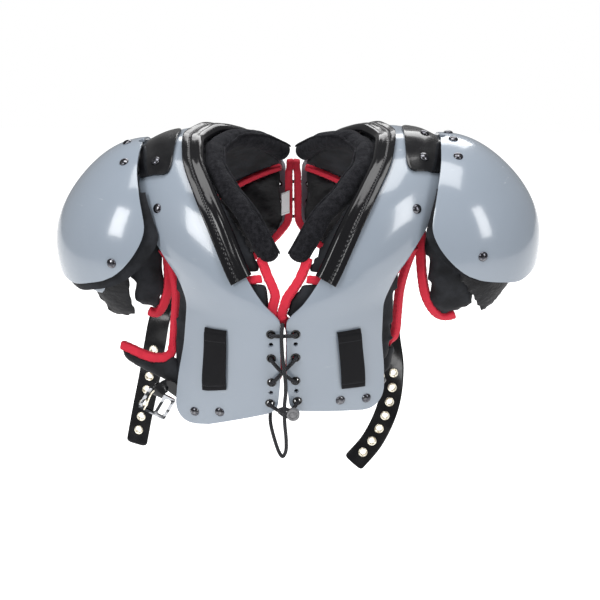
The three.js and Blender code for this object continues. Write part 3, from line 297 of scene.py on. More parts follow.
class Arch:
    """A side's arch as if it were on +X: u runs from the neck edge, 0, to the outer edge, 1,
    and v through the stations."""

    def __init__(self, side):
        self.side = side
        self.columns = [curve(list(enumerate(column))) for column in zip(*ARCH.values())]
        self.flat = framed(self.ruled)
        self.frames = framed(self.surface)

    def ruled(self, u, v):
        side = self.side
        u, v = np.broadcast_arrays(np.asarray(u, float), np.asarray(v, float))
        in_x, in_y, in_z, out_x, out_y, out_z = (column(v) for column in self.columns[:6])
        x = mix(in_x, out_x, u) * HALF_WIDTH
        y = mix(in_y, out_y, u) * HALF_DEPTH
        z = mix(in_z, out_z, u) * DROP
        share = x / HALF_WIDTH
        low = np.where(y < 0, smooth(-0.4, -1, z / DROP), 0)
        hem = low * share * 1.5
        end = smooth(0.3, 1, share) * smooth(-0.7, -0.1, z / DROP)
        drop = side.hem_drop * low * np.minimum(1, share * 2.2)
        return np.stack([x + side.hem_out * hem + side.out * end, y - side.hem_forward * hem,
                         z - drop + side.rise * end], -1)

    def surface(self, u, v):
        point, normal, _ = self.flat(u, v)
        crown = self.columns[6](v) * HALF_WIDTH * 4 * u * (1 - u)
        return point + normal * np.asarray(crown)[..., None]

    def width(self, v):
        return np.linalg.norm(self.ruled(1, v) - self.ruled(0, v), axis=-1)

    def from_neck(self, v, distance):
        return distance / self.width(v)

    def past_outer(self, v, distance):
        return 1 + distance / self.width(v)

    def raised(self, u, v, height):
        """Points that height over the surface."""
        point, normal, _ = self.frames(u, v)
        return point + normal * np.asarray(height)[..., None]


def length_of(points):
    return float(np.linalg.norm(np.diff(points, axis=0), axis=1).sum())


def laid(columns, rows, place, side, closed=False):
    """A grid of cloth or sheet laid at place(s, t), which is worked out on the +X side. Its
    texture map is in centimetres, or once round it where it is closed into a tube."""
    shape = bmesh.new()
    uv = shape.loops.layers.uv.new("lie")
    bmesh.ops.create_grid(shape, x_segments=columns, y_segments=rows, size=0.5, calc_uvs=True)
    s, t = np.array([vert.co.xy for vert in shape.verts]).T + 0.5
    points = place(s, t) * (side.sign * MM, MM, MM)
    for vert, point in zip(shape.verts, points):
        vert.co = point
    run = np.linspace(0, 1, 60)
    wide = 1 if closed else length_of(place(run, np.full(60, 0.5))) / 10
    tall = length_of(place(np.full(60, 0.5), run)) / 10
    for face in shape.faces:
        for loop in face.loops:
            loop[uv].uv = (loop[uv].uv.x * wide, loop[uv].uv.y * tall)
    if closed:
        bmesh.ops.remove_doubles(shape, verts=shape.verts, dist=1e-6)
        bmesh.ops.holes_fill(shape, edges=[e for e in shape.edges if e.is_boundary])
        bmesh.ops.recalc_face_normals(shape, faces=shape.faces)
    elif side.sign < 0:
        bmesh.ops.reverse_faces(shape, faces=shape.faces)
    return shape


def thicken(made, thick, edge, outwards=False, segments=2):
    """Gives a laid sheet its wall, inwards from its face, and rounds the wall's edges."""
    wall = made.modifiers.new("wall", "SOLIDIFY")
    wall.thickness, wall.offset = thick * MM, 1 if outwards else -1
    wall.use_even_offset = True
    rounding = made.modifiers.new("edge", "BEVEL")
    rounding.width, rounding.segments = edge * MM, segments
    rounding.limit_method, rounding.angle_limit = "ANGLE", math.radians(50)


def settle(made):
    """Makes a piece's modifiers part of its mesh."""
    shaped = made.evaluated_get(bpy.context.evaluated_depsgraph_get())
    mesh = bpy.data.meshes.new_from_object(shaped)
    made.modifiers.clear()
    made.data = mesh


def facing(point, normal):
    """The turn and place of a small part that stands on a face, given in millimetres."""
    turn = Vector(normal).to_track_quat("Z", "Y").to_matrix().to_4x4()
    return Matrix.Translation(Vector(point) * MM) @ turn


def mirrored(side, frames):
    """Frames on their own side of the set: lists of points and of normals."""
    flip = np.array((side.sign, 1, 1))
    return list(zip(np.atleast_2d(frames[0]) * flip, np.atleast_2d(frames[1]) * flip))


def drill(made, places, radius, depth):
    """Cuts round holes through a piece at facing places, and keeps them in its mesh."""
    bits = bmesh.new()
    for place in places:
        bmesh.ops.create_cone(bits, cap_ends=True, segments=28, radius1=radius * MM,
                              radius2=radius * MM, depth=depth * MM, matrix=place)
    cutter = bpy.data.objects.new("bits", bpy.data.meshes.new("bits"))
    bits.to_mesh(cutter.data)
    bits.free()
    scene.collection.objects.link(cutter)
    cut = made.modifiers.new("holes", "BOOLEAN")
    cut.operation, cut.solver, cut.object = "DIFFERENCE", "EXACT", cutter
    settle(made)
    bpy.data.objects.remove(cutter)


plastic = Finish("grey_plastic", (0.24, 0.275, 0.325), 0.2, coat_weight=0.35, coat_roughness=0.06,
                 specular_ior_level=0.5)
clouds = plastic.noise(9, 3)
scuffs = plastic.noise(30, 5, plastic.place((1, 1, 7)), 0.7).rises(0.62, 0.78)
specks = plastic.cells(420).rises(0.06, 0.02)
plain = plastic.tint((0.22, 0.257, 0.305), (0.262, 0.3, 0.35), clouds)
worn = plastic.tint(plain, (0.4, 0.43, 0.46), scuffs * 0.22)
ripple = plastic.relief(plastic.noise(45, 2), 0.0006, 0.25)
plastic.look(plastic.tint(worn, (0.2, 0.21, 0.22), specks * 0.25),
             clouds * 0.1 + scuffs * 0.16 + 0.13,
             plastic.relief(plastic.noise(700, 2), 0.00005, 0.25, ripple))

EYELET_STATIONS, EYELET_INSET = (2.5, 1.58, 0.9, 0.3), 8.5
BACK_EYELET_STATIONS, BACK_EYELET_INSET = (13.3, 13.65, 14.0), 10
EYELET = 3.3
VENT_STATIONS, VENT = (2.03, 0.6), 2.1
DRILL_DEEP = 16
for side in SIDES:
    arch = side.arch = Arch(side)

    def corner(v, radius, end):
        """How far a rounded corner draws in the plate's edge at a station."""
        middle = np.full(np.shape(v), 0.5)
        away = np.linalg.norm(arch.surface(middle, v) - arch.surface(middle, middle * 2 * end),
                              axis=-1)
        return radius - np.sqrt(np.maximum(radius ** 2 - np.maximum(radius - away, 0) ** 2, 0))

    def on_plate(s, t):
        # Rows crowd towards the hems, where the corners are round.
        v = TAIL * mix(t, smooth(0, 1, t), 0.5)
        end = np.where(v < TAIL / 2, 0, TAIL)
        first = arch.from_neck(v, corner(v, HEM_INNER_CORNER, end))
        last = arch.past_outer(v, -corner(v, HEM_OUTER_CORNER, end))
        return arch.surface(mix(first, last, s), v)

    plate = piece(f"plate_{side.name}", laid(44, 300, on_plate, side), plastic, "plate",
                  [f"arch_plate_{side.name}"])
    thicken(plate, PLATE_WALL, 1.0)

    def holes(stations, inset):
        v = np.array(stations)
        return mirrored(side, arch.frames(arch.from_neck(v, inset), v))

    side.eyes = holes(EYELET_STATIONS, EYELET_INSET)
    side.eyes += holes(BACK_EYELET_STATIONS, BACK_EYELET_INSET)
    drill(plate, [facing(*eye) for eye in side.eyes], EYELET, DRILL_DEEP)
    drill(plate, [facing(*vent) for vent in holes(VENT_STATIONS, EYELET_INSET)], VENT, DRILL_DEEP)


# Eyelets
# Every lace hole is lined with a glossy black ring, pressed in from the front and rolled over
# on both faces of the plate.
def turned(profile, steps=32, closed=True):
    """A mesh of a profile of (radius, height) rows turned round its axis."""
    shape = bmesh.new()
    verts = [shape.verts.new((radius * MM, 0, height * MM)) for radius, height in profile]
    nexts = verts[1:] + (verts[:1] if closed else [])
    edges = [shape.edges.new(pair) for pair in zip(verts, nexts)]
    bmesh.ops.spin(shape, geom=verts + edges, cent=(0, 0, 0), axis=(0, 0, 1), angle=math.tau,
                   steps=steps, use_merge=True)
    bmesh.ops.remove_doubles(shape, verts=shape.verts, dist=1e-6)
    bmesh.ops.recalc_face_normals(shape, faces=shape.faces)
    mesh = bpy.data.meshes.new("turned")
    shape.to_mesh(mesh)
    shape.free()
    return mesh


def set_out(mesh, places):
    """One shape of copies of a mesh, at each place."""
    shape = bmesh.new()
    for place in places:
        first = len(shape.verts)
        shape.from_mesh(mesh)
        shape.verts.ensure_lookup_table()
        bmesh.ops.transform(shape, matrix=place, verts=shape.verts[first:])
    return shape


def arc(centre, radius, start, stop, count):
    """Rows of a profile along part of a circle, with angles in degrees."""
    turns = np.radians(np.linspace(start, stop, count))
    return list(zip(centre[0] + radius * np.cos(turns), centre[1] + radius * np.sin(turns)))


gloss_black = Finish("black_eyelet", (0.009, 0.009, 0.01), 0.18, coat_weight=0.2)
gloss_black.set("Roughness", gloss_black.noise(600, 2) * 0.16 + 0.1)
gloss_black.set("Normal", gloss_black.relief(gloss_black.noise(900, 2), 0.00003, 0.3))
ring = turned(arc((3.85, 0.1), 0.95, -20, 190, 9) + [(2.85, -1.5), (2.85, -3.0)]
              + arc((3.85, -3.2), 0.95, 170, 380, 9) + [(3.25, -3.0), (3.25, 0)])
for side in SIDES:
    piece(f"eyelets_{side.name}", set_out(ring, [facing(*eye) for eye in side.eyes]),
          gloss_black, "trim")


# Lacing
# Soft braided black cord. One is laced through the chest eyelets and knotted below, a second
# hangs from the top of the lacing to a loop under the knot, and a third laces the back.
CORD = 3.8
CORD_REACH = CORD / 2 + 0.7  # from a plate's face to a cord's middle beside it


def through(points):
    """A smooth line through points, followed from 0 at the first to 1 at the last."""
    points = np.array(points, float)
    ends = np.vstack([2 * points[0] - points[1], points, 2 * points[-1] - points[-2]])

    def follow(t):
        where = np.clip(np.asarray(t, float), 0, 1) * (len(points) - 1)
        i = np.minimum(where.astype(int), len(points) - 2)
        w = (where - i)[..., None]
        a, b, c, d = (ends[i + k] for k in range(4))
        ab, bc, cd = (np.sqrt(np.maximum(np.linalg.norm(q - p, axis=-1, keepdims=True), 1e-4))
                      for p, q in ((a, b), (b, c), (c, d)))
        leave = ((b - a) / ab - (c - a) / (ab + bc) + (c - b) / bc) * bc
        reach = ((c - b) / bc - (d - b) / (bc + cd) + (d - c) / cd) * bc
        return (b + leave * w + (3 * (c - b) - 2 * leave - reach) * w ** 2
                + (2 * (b - c) + leave + reach) * w ** 3)
    return follow


def paced(points, step):
    """Points a step apart along the smooth line through points."""
    fine = through(points)(np.linspace(0, 1, 60 * len(points)))
    gone = np.concatenate([[0], np.cumsum(np.linalg.norm(np.diff(fine, axis=0), axis=1))])
    marks = np.linspace(0, gone[-1], max(2, round(gone[-1] / step) + 1))
    return np.stack([np.interp(marks, gone, fine[:, k]) for k in range(3)], -1)


def carried(path):
    """Two directions square to a path at each of its points, turning as little as they can."""
    tangents = unit(np.gradient(path, axis=0))
    right = unit(np.cross(tangents[0], (0.3, 0.2, 1)))
    rights = []
    for tangent in tangents:
        right = unit(right - tangent * right.dot(tangent))
        rights.append(right)
    return np.array(rights), np.cross(tangents, rights)


def rope(points, diameter, around=16, step=1.2):
    """A round cord along points, with its ends rounded off."""
    path = paced(points, step)
    right, up = carried(path)
    count = len(path) - 1
    ends = np.minimum(np.arange(count + 1), count - np.arange(count + 1)) * step
    fuller = np.sqrt(np.clip(1 - (1 - ends / (diameter / 2)) ** 2, 0.1, 1))
    fuller[np.minimum(ends, ends[::-1]) > diameter / 2] = 1

    def round_it(s, t):
        i = np.round(t * count).astype(int)
        radius = (diameter / 2 * fuller[i])[:, None]
        turn = math.tau * s
        return path[i] + radius * (right[i] * np.cos(turn)[:, None] + up[i] * np.sin(turn)[:, None])
    return laid(around, count, round_it, SIDES[1], closed=True), path


braid = Finish("braided_cord", (0.012, 0.012, 0.014), 0.75, sheen_weight=0.04,
               sheen_roughness=0.4, specular_ior_level=0.2)
turn, along = braid.lie()
PLAITS = 6
crossing = (turn * PLAITS + along * 3.4).wave() * (turn * -PLAITS + along * 3.4).wave()
fibre = braid.noise(1400, 3)
braid.look(braid.tint((0.002, 0.002, 0.003), (0.06, 0.06, 0.068), crossing * 0.7 + fibre * 0.3),
           fibre * 0.2 + 0.6, braid.relief(crossing + fibre * 0.25, 0.0005, 0.8))


def laced(eyes, rows, inwards, bows, start, end):
    """A cord's points through eyelets, given as (side, number), by turns inwards and outwards."""
    points, bows = list(start), list(bows)
    holes = {side.name: side.eyes[eyes:] for side in SIDES}
    for i, (name, number) in enumerate(rows):
        point, normal = holes[name][number]
        goes_in = (i % 2 == 0) == inwards
        depths = (CORD_REACH, -PLATE_WALL / 2, -PLATE_WALL - CORD_REACH)
        points += [point + normal * depth for depth in (depths if goes_in else depths[::-1])]
        if not goes_in and i + 1 < len(rows):
            name, number = rows[i + 1]
            middle = (point + holes[name][number][0]) / 2 + normal * (CORD_REACH + bows.pop(0))
            points.append(np.array((0, middle[1], middle[2])))
    return points + list(end)


FRONT_ROWS = [("left", 3), ("left", 2), ("right", 1), ("right", 0), ("left", 0), ("left", 1),
              ("right", 2), ("right", 3)]
BACK_ROWS = [("right", 2), ("left", 2), ("left", 1), ("right", 1), ("right", 0), ("left", 0)]
LOOP = [(-0.9, -131.8, -128), (-0.9, -135.5, -130.5), (-1.2, -140, -134.5), (-1.2, -142.9, -141),
        (-0.6, -142.9, -156), (1.2, -146.2, -172), (2.2, -146.2, -182), (2.4, -143, -198),
        (1.2, -141.5, -212), (0.9, -142, -222), (1.2, -140, -236), (2.4, -137.6, -256),
        (1.6, -136.6, -270), (-1.5, -136.4, -275.5), (-5, -136.4, -270), (-9.4, -135.6, -256),
        (-13, -132.6, -242), (-14, -129, -236), (-14, -126, -231), (-14, -125.8, -224)]
LACES = {  # name: its points, and how its far end is held
    "front_lace": (laced(0, FRONT_ROWS, True, (0.8, 1.6, 5.2), [(-4.5, -137, -222.5)],
                         [(8, -136.6, -221.5)]), "knot"),
    "lace_loop": (LOOP, "object"),
    "back_lace": (laced(4, BACK_ROWS, False, (1, 1, 1), [(17.6, 120.8, -122)],
                        [(-17.8, 119.6, -62)]), "knot"),
}
laces = {}
for name, (points, far_end) in LACES.items():
    shape, path = rope(points, CORD)
    laces[name] = piece(f"{name}_braid", shape, braid, "cord", [name]), path, far_end


# Knot and cord lock
# The two front cords are knotted over the lowest eyelets. A round sliding lock of grey plastic
# grips them beside the knot, with its spring button below.
LOCK = (9.7, -142, -223)
LOCK_RADIUS, LOCK_THICK = 6.5, 6
lock_grey = Finish("lock_plastic", (0.1, 0.1, 0.105), 0.4)
speckle = lock_grey.noise(500, 3)
lock_grey.look(lock_grey.tint((0.1, 0.1, 0.105), (0.2, 0.2, 0.21), speckle),
               speckle * 0.25 + 0.3, lock_grey.relief(speckle, 0.0001, 0.3))
half = LOCK_THICK / 2
button = turned([(0, -half)] + arc((LOCK_RADIUS - 1, -half + 1), 1, -90, 0, 4)
                + arc((LOCK_RADIUS - 1, half - 1), 1, 0, 90, 4)
                + [(4.6, half), (4.3, half - 0.9), (3.1, half - 0.9), (2.8, half), (0, half)],
                closed=False)
lock = piece("cord_lock_disc", set_out(button, [facing(LOCK, (0, -1, 0))]), lock_grey, "lock",
             ["cord_lock"])
KNOT = [(8, -136.6, -221.5), (5.6, -140.6, -219), (0.6, -141.3, -217.2), (-3.6, -139.4, -219.3),
        (-4.6, -135.9, -223.6), (-1.6, -134.4, -227.4), (3.4, -136.6, -228.8),
        (6.6, -140.2, -226.6), (4.6, -142.8, -222.6), (-0.4, -142.6, -220.4),
        (-4.5, -137, -222.5)]
knot_shape, _ = rope(KNOT, CORD * 0.96, around=14)
knot = piece("lace_knot", knot_shape, braid, "cord")
for name, (lace, path, far_end) in laces.items():
    parts = [lock, knot] if name == "front_lace" else []
    tuple(path[0] * MM)
    length_of(path) * MM
    "taut" if name != "lace_loop" else "hanging"
    [tuple(point * MM) for point in path]


# Collar trim
# A glossy black vinyl channel grips the neck edge of each plate. Its ribbed flange lies on the
# plate and is stitched through it, which puckers the vinyl, and its bead rolls over the edge.
LAYER_GAP = 1.3
TRIM_FROM, TRIM_TO = COLLAR, 11.35
STITCH = 3.6  # millimetres from one stitch to the next
TRIM_SECTION = [  # outwards from the plate's edge, and up from its face
    (16.0, 1.7), (16.2, 2.4), (15.4, 3.0), (14.0, 3.1), (12.4, 3.0), (11.0, 2.8), (10.0, 2.6),
    (9.0, 2.6), (8.0, 2.8), (6.8, 3.2), (5.4, 3.5), (4.0, 3.6), (2.7, 3.6), (1.6, 3.7),
    (0.4, 3.9), (-1.4, 3.7), (-3.4, 2.6), (-5.2, 0.9), (-6.1, -1.2), (-6.0, -3.4),
    (-5.1, -5.2), (-3.4, -6.0), (-0.9, -6.0), (-0.8, -2.5), (-0.8, 1.3), (5.0, 1.35),
    (11.0, 1.4), (16.0, 1.7)]
STITCHED_FROM, STITCHED_TO = 6 / 27, 8 / 27  # shares of the section
PUCKER = 0.45  # how deep each stitch draws the vinyl in


def vinyl_finish(name, dark, pale, gloss, creases, coat=0.08):
    """Glossy vinyl, with a fine grain and soft creases across it."""
    made = Finish(name, dark, gloss, coat_weight=coat, coat_roughness=0.06,
                  specular_ior_level=0.3)
    cloud = made.noise(60, 4)
    crease = made.relief(made.noise(creases, 2), 0.0012, 0.3)
    made.grained = made.relief(made.cells(900), 0.00004, 0.2, crease)
    made.look(made.tint(dark, pale, cloud.rises(0.35, 0.75)), cloud * 0.2 + (gloss - 0.08),
              made.grained)
    return made


trim_vinyl = vinyl_finish("trim_vinyl", (0.004, 0.004, 0.005), (0.01, 0.01, 0.011), 0.24, 70)
turn, along = trim_vinyl.lie()
row = (turn - (STITCHED_FROM + STITCHED_TO) / 2).maths("ABSOLUTE").rises(0.014, 0.009)
thread = row * (along * (10 / STITCH)).wave().rises(0.25, 0.4)
trim_vinyl.look(trim_vinyl.tint((0.005, 0.005, 0.006), (0.03, 0.03, 0.034), thread),
                thread * 0.35 + 0.16, trim_vinyl.relief(thread, 0.0004, 0.7, trim_vinyl.grained))
for side in SIDES:
    arch = side.arch
    edge = arch.surface(np.zeros(80), np.linspace(TRIM_FROM, TRIM_TO, 80))
    stitches = round(length_of(edge) / STITCH)
    section = through(TRIM_SECTION)

    def round_edge(s, t):
        point, normal, run = arch.frames(np.zeros(len(t)), mix(TRIM_FROM, TRIM_TO, t))
        across = unit(np.cross(run, normal))
        out, up = section(s).T
        valley = smooth(STITCHED_FROM - 0.03, STITCHED_FROM + 0.02, s)
        valley *= smooth(STITCHED_TO + 0.03, STITCHED_TO - 0.02, s)
        up = up - PUCKER * valley * np.sin(math.pi * stitches * t) ** 2
        slow = np.sin(t * 61) + np.sin(t * 37 + 2)
        up = up + 0.12 * slow * smooth(1.0, 4.0, out)
        return point + across * out[:, None] + normal * up[:, None]

    piece(f"collar_trim_{side.name}", laid(84, 6 * stitches, round_edge, side, closed=True),
          trim_vinyl, "trim", [f"neck_trim_{side.name}"])


# Neck rolls
# A soft round roll of foam in black fleece lies inside each collar. It hangs lower at the front,
# where its end is gathered and closed.
ROLL_WIDE, ROLL_DEEP, ROLL_DOWN = 21, 19, 9.5
ROLL_FROM, ROLL_TO = 5.05, 12.42
PLEATS, PIPING = 9, 2.4  # of a roll's gathered end, and how thick the piping of its seam is
roll_inset = curve([(5.2, 29), (6, 25), (7, 19.5), (8, 17.5), (11, 17.5), (12, 17.5), (12.6, 15)])


def crumple(shape, depth, size, seed=0):
    """Moves a mesh's points in and out in soft lumps of about that size."""
    shape.normal_update()
    shift = Vector((seed * 1.7, seed * 0.9, seed * 2.3))
    for vert in shape.verts:
        lump = noise.noise(vert.co / (size * MM) + shift)
        vert.co += vert.normal * lump * depth * MM
    return shape


fleece = Finish("black_fleece", (0.012, 0.012, 0.014), 0.95, sheen_weight=0.06,
                sheen_roughness=0.5, sheen_tint=(0.6, 0.62, 0.7, 1), specular_ior_level=0.12)
nap = fleece.noise(1300, 4, roughness=0.7)
tufts = fleece.noise(260, 3)
fleece.look(fleece.tint((0.001, 0.001, 0.002), (0.022, 0.022, 0.026),
                        (nap * 0.6 + tufts * 0.4).rises(0.35, 0.7)),
            nap * 0.1 + 0.88, fleece.relief(nap, 0.0012, 0.9, fleece.relief(tufts, 0.0016, 0.6)))
for number, side in enumerate(SIDES):
    arch = side.arch

    def in_collar(s, t):
        v = mix(ROLL_FROM, ROLL_TO, t)
        point, normal, run = arch.frames(np.zeros(len(v)), v)
        across = unit(np.cross(run, normal))
        centre = point - across * roll_inset(v)[:, None] - normal * ROLL_DOWN
        end = np.minimum(t, 1 - t) * 32
        fuller = np.sqrt(np.clip(1 - (1 - np.clip(end, 0, 1)) ** 2, 0.04, 1))
        gather = 1 + 0.035 * np.cos(math.tau * PLEATS * s) * smooth(0.12, 0.0, t)
        turn = math.tau * s
        wide = ROLL_WIDE / 2 * fuller * gather * np.cos(turn)
        deep = ROLL_DEEP / 2 * fuller * gather * np.sin(turn)
        return centre + across * wide[:, None] - normal * deep[:, None]

    roll = laid(36, 170, in_collar, side, closed=True)
    crumple(crumple(roll, 1.2, 26, number), 0.5, 8, number)
    made = piece(f"fleece_roll_{side.name}", roll, fleece, "fleece", [f"neck_roll_{side.name}"])
    v = np.linspace(ROLL_FROM + 0.1, ROLL_TO - 0.1, 60)
    point, normal, run = arch.frames(np.zeros(len(v)), v)
    across = unit(np.cross(run, normal))
    seam = (point - across * (roll_inset(v) + ROLL_WIDE * 0.46)[:, None]
            - normal * (ROLL_DOWN - ROLL_DEEP * 0.24))
    piping, _ = rope(seam * (side.sign, 1, 1), PIPING, around=10, step=2)
    piece(f"roll_piping_{side.name}", piping, fleece, "fleece")


# Body pads
# Each side has a chest pad and a shoulder pad of closed-cell foam in a charcoal skin, and a back
# pad in creased black nylon. Each keeps its plate side, and the side to the wearer swells.
PAD_VOXEL = 4.5
PAD_SHY = 0.5  # how much thinner a pad starts, before it swells
PAD_LAP = 4.0  # how far its cut edges reach into the tape that is folded over them
ARM_BULGE = {"left": 4, "right": 9}  # how far the soft armhole edge bellies out of its place
HEART = Vector((60, 0, -120))  # a point of the wearer's chest, at the right side
PRESSURE, STIFFNESS, CLOTH_STEPS = 4, 0.4, 20


def relax(shape, times):
    """Smooths a mesh's points that many times."""
    for _ in range(times):
        bmesh.ops.smooth_vert(shape, verts=shape.verts, factor=0.5, use_axis_x=True,
                              use_axis_y=True, use_axis_z=True)
    shape.normal_update()


def stuffed(name, node, finish, slot, side, fill, swell, slack, held=True, voxel=PAD_VOXEL,
            lap=PAD_LAP, heart=HEART, bulge=0):
    """A padded piece in the place of its CAD node: remeshed, blown up as cloth and smoothed.
    slack is how much longer the cloth is than its shape, swell the most it may move, lap how
    far its edges reach, bulge how much further those that face outwards do, or inwards if it is
    below 0, and heart the place that its outer face looks away from."""
    shape = bmesh.new()
    shape.from_mesh(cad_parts[node].data)
    bmesh.ops.remove_doubles(shape, verts=shape.verts, dist=1e-6)
    made = piece(name, shape, finish, slot, [node])
    fine = made.modifiers.new("fine", "REMESH")
    fine.mode, fine.voxel_size = "VOXEL", voxel * MM
    settle(made)
    shape = bmesh.new()
    shape.from_mesh(made.data)
    relax(shape, 2)
    heart = Vector((heart.x * side.sign, heart.y, heart.z)) * MM
    outer = []
    for vert in shape.verts:
        outward = vert.normal.dot((vert.co - heart).normalized())
        outer.append(outward > 0.35)
        at_edge = max(0.0, 1 - (outward / 0.7) ** 2)
        reach = lap + max(0.0, vert.normal.x * side.sign * bulge)
        vert.co += vert.normal * mix(-PAD_SHY, reach, at_edge) * MM
    relax(shape, 3)
    shape.to_mesh(made.data)
    shape.free()
    start = [vert.co.copy() for vert in made.data.vertices]
    group = made.vertex_groups.new(name="held")
    group.add([i for i, is_outer in enumerate(outer) if is_outer and held], 1, "REPLACE")
    cloth = made.modifiers.new("cloth", "CLOTH")
    cloth.settings.vertex_group_mass = "held"
    cloth.settings.use_pressure = True
    cloth.settings.uniform_pressure_force = PRESSURE
    cloth.settings.shrink_min = -slack
    cloth.settings.bending_stiffness = STIFFNESS
    cloth.settings.effector_weights.gravity = 0
    for step in range(1, CLOTH_STEPS + 1):
        scene.frame_set(step)
    made.vertex_groups.clear()
    settle(made)
    scene.frame_set(1)
    for vert, first in zip(made.data.vertices, start):
        moved = vert.co - first
        if moved.length > swell * MM:
            vert.co = first + moved.normalized() * swell * MM
    made.data.materials.clear()
    made.data.materials.append(finish.material)
    made.data.shade_smooth()
    made.data.update()
    soften = made.modifiers.new("soft", "SUBSURF")
    soften.levels = soften.render_levels = 1
    return made


foam = Finish("charcoal_foam", (0.012, 0.013, 0.016), 0.7, sheen_weight=0.03, sheen_roughness=0.5,
              specular_ior_level=0.15)
mottle = foam.noise(55, 4)
pores = foam.cells(1100)
dents = foam.relief(foam.noise(70, 3), 0.0016, 0.45)
foam.look(foam.tint((0.005, 0.0055, 0.007), (0.017, 0.0185, 0.0225), mottle.rises(0.3, 0.7)),
          mottle * 0.2 + 0.58, foam.relief(pores, 0.0002, 0.5, dents))

nylon = Finish("black_nylon", (0.008, 0.008, 0.009), 0.6, sheen_weight=0.03,
               sheen_roughness=0.35, specular_ior_level=0.2)
warp, weft = (nylon.node("ShaderNodeSeparateXYZ", {}, {0: nylon.place()}, k) for k in (0, 2))
WEAVE = 900  # threads to a metre
cloth_weave = (warp * WEAVE).wave() * 0.5 + (weft * WEAVE).wave() * 0.5
creases = nylon.noise(48, 5, nylon.place((1, 1, 1.7)), 0.62)
folds = nylon.relief(creases, 0.0045, 0.55)
# The colour follows the folds' height, lighter on their ridges and darker in their hollows: painted
# shade in the creases.
nylon.look(nylon.tint((0.003, 0.003, 0.004), (0.016, 0.0165, 0.019),
                      creases.rises(0.4, 0.7) * 0.6 + cloth_weave * 0.3),
           creases * 0.25 + 0.42, nylon.relief(cloth_weave, 0.00012, 0.35, folds))

for side in SIDES:
    for part, finish, slot, fill, swell, slack, lap, bulge in (
            ("chest_pad", foam, "foam", 0.8, 2.5, 0.0, 6.0, 1 + ARM_BULGE[side.name]),
            ("shoulder_pad", foam, "foam", 0.8, 2.5, 0.0, 7.0, -7),
            ("back_pad", nylon, "nylon", 0.6, 4.0, 0.05, 7.0, -7)):
        stuffed(f"soft_{part}_{side.name}", f"{part}_{side.name}", finish, slot, side, fill,
                swell, slack, lap=lap, bulge=bulge)


# Red bindings
# The pads' cut edges and the seams between them are wrapped in red ribbed tape, folded over and
# sewn through with one row of stitches.
TAPE_WIDE, TAPE_THICK, SIDE_GAP = 8, 7, 0.6
LACE_ROOM, TRIM_DEEP = 6.5, 6
PAD_TOP = -PLATE_WALL - LAYER_GAP  # the pads' face, from the plate's face
RIB = 0.7  # millimetres from one rib of the tape to the next
TAPE_STITCH = 3.2


def eased(points, reach):
    """A line of points with its corners eased over that many of them, and its ends kept."""
    weights = np.hanning(2 * reach + 3)[1:-1]
    before = 2 * points[0] - points[reach:0:-1]
    after = 2 * points[-1] - points[-2:-reach - 2:-1]
    whole = np.vstack([before, points, after])
    return np.stack([np.convolve(column, weights / weights.sum(), "valid")
                     for column in whole.T], -1)


def bar_along(frames_at, wide, low, high, side, rows, square=0.42):
    """A folded tape along frames: its points and normals at t, with rounded long edges."""
    def round_tape(s, t):
        marks = np.linspace(0, 1, rows + 1)
        points, normals = frames_at(marks)
        points = eased(points, rows // 12)
        run = unit(np.gradient(points, axis=0))
        across = unit(np.cross(run, normals))
        up = unit(np.cross(across, run))
        i = np.round(t * rows).astype(int)
        bottom = np.broadcast_to(low(marks) if callable(low) else low, marks.shape)[i]
        top = np.broadcast_to(high(marks) if callable(high) else high, marks.shape)[i]
        cosine, sine = np.cos(math.tau * s), np.sin(math.tau * s)
        ends = np.minimum(t, 1 - t) * length_of(points)
        slim = 1 - 0.12 * smooth(2.5, 0, ends)
        pucker = 1 + 0.03 * np.sin(math.tau * t * length_of(points) / (2 * TAPE_STITCH))
        wobble = pucker + 0.02 * np.sin(t * length_of(points) / 7)
        a = wide / 2 * slim * wobble * np.sign(cosine) * np.abs(cosine) ** square
        b = (bottom + top) / 2 + (top - bottom) / 2 * slim * np.sign(sine) * np.abs(sine) ** square
        return points[i] + across[i] * a[:, None] + up[i] * b[:, None]
    return laid(28, rows, round_tape, side, closed=True)


tape = Finish("red_tape", (0.6, 0.02, 0.045), 0.75, sheen_weight=0.08, sheen_roughness=0.4,
              sheen_tint=(1.0, 0.4, 0.45, 1), specular_ior_level=0.25)
turn, along = tape.lie()
ribs = (along * (10 / RIB)).wave()
hem_row = ((turn * 2).maths("FRACT") - 0.34).maths("ABSOLUTE").rises(0.03, 0.018)
sewn = hem_row * (along * (10 / TAPE_STITCH)).wave().rises(0.2, 0.35)
fuzz = tape.noise(900, 3)
# Soft patches where the red is mixed towards a darker red are painted shade.
painted_shade_patches = tape.noise(35, 3)
ribbed = tape.tint((0.42, 0.012, 0.03), (0.68, 0.026, 0.055), ribs * 0.5 + fuzz * 0.5)
shaded = tape.tint(ribbed, (0.3, 0.008, 0.02), painted_shade_patches.rises(0.5, 0.8) * 0.5)
ribbing = tape.relief(ribs + fuzz * 0.5, 0.0002, 0.6)
tape.look(tape.tint(shaded, (0.2, 0.006, 0.014), sewn), fuzz * 0.2 + 0.65,
          tape.relief(sewn, 0.0006, 0.7, ribbing))

vee_inset = curve([(0.5, 0), (2, 0), (3, 0.5), (3.5, 7), (4, 17), (4.6, 25), (5, 26), (5.3, 27)])
vee_cross = curve([(2.5, 0), (3.3, 1), (4, 0.6), (5, 0)])
armhole_reach = curve([(1, 2), (1.6, 12), (2.2, 15), (3.2, 16), (4, 14), (4.7, 10), (5.4, 5)])
back_inset = curve([(12.6, 12), (13, 8.4), (14, 7.4), (14.3, 9), (14.6, 7), (15, -2),
                    (15.4, -14)])
BACK_REACH, BACK_SEAM, BACK_PAD_TOP, BACK_PAD_END, BACK_SHIFT = 2, 12.72, 12.62, 15.3, 3.2
VEE_FROM, VEE_TOP, SEAM_TAPE = 0.8, 5.46, 6.5
ARM_FROM, ARM_TO = 4.95, 1.75
BROAD = 1.6  # how much wider than its place between the pads a tape lies on their edges


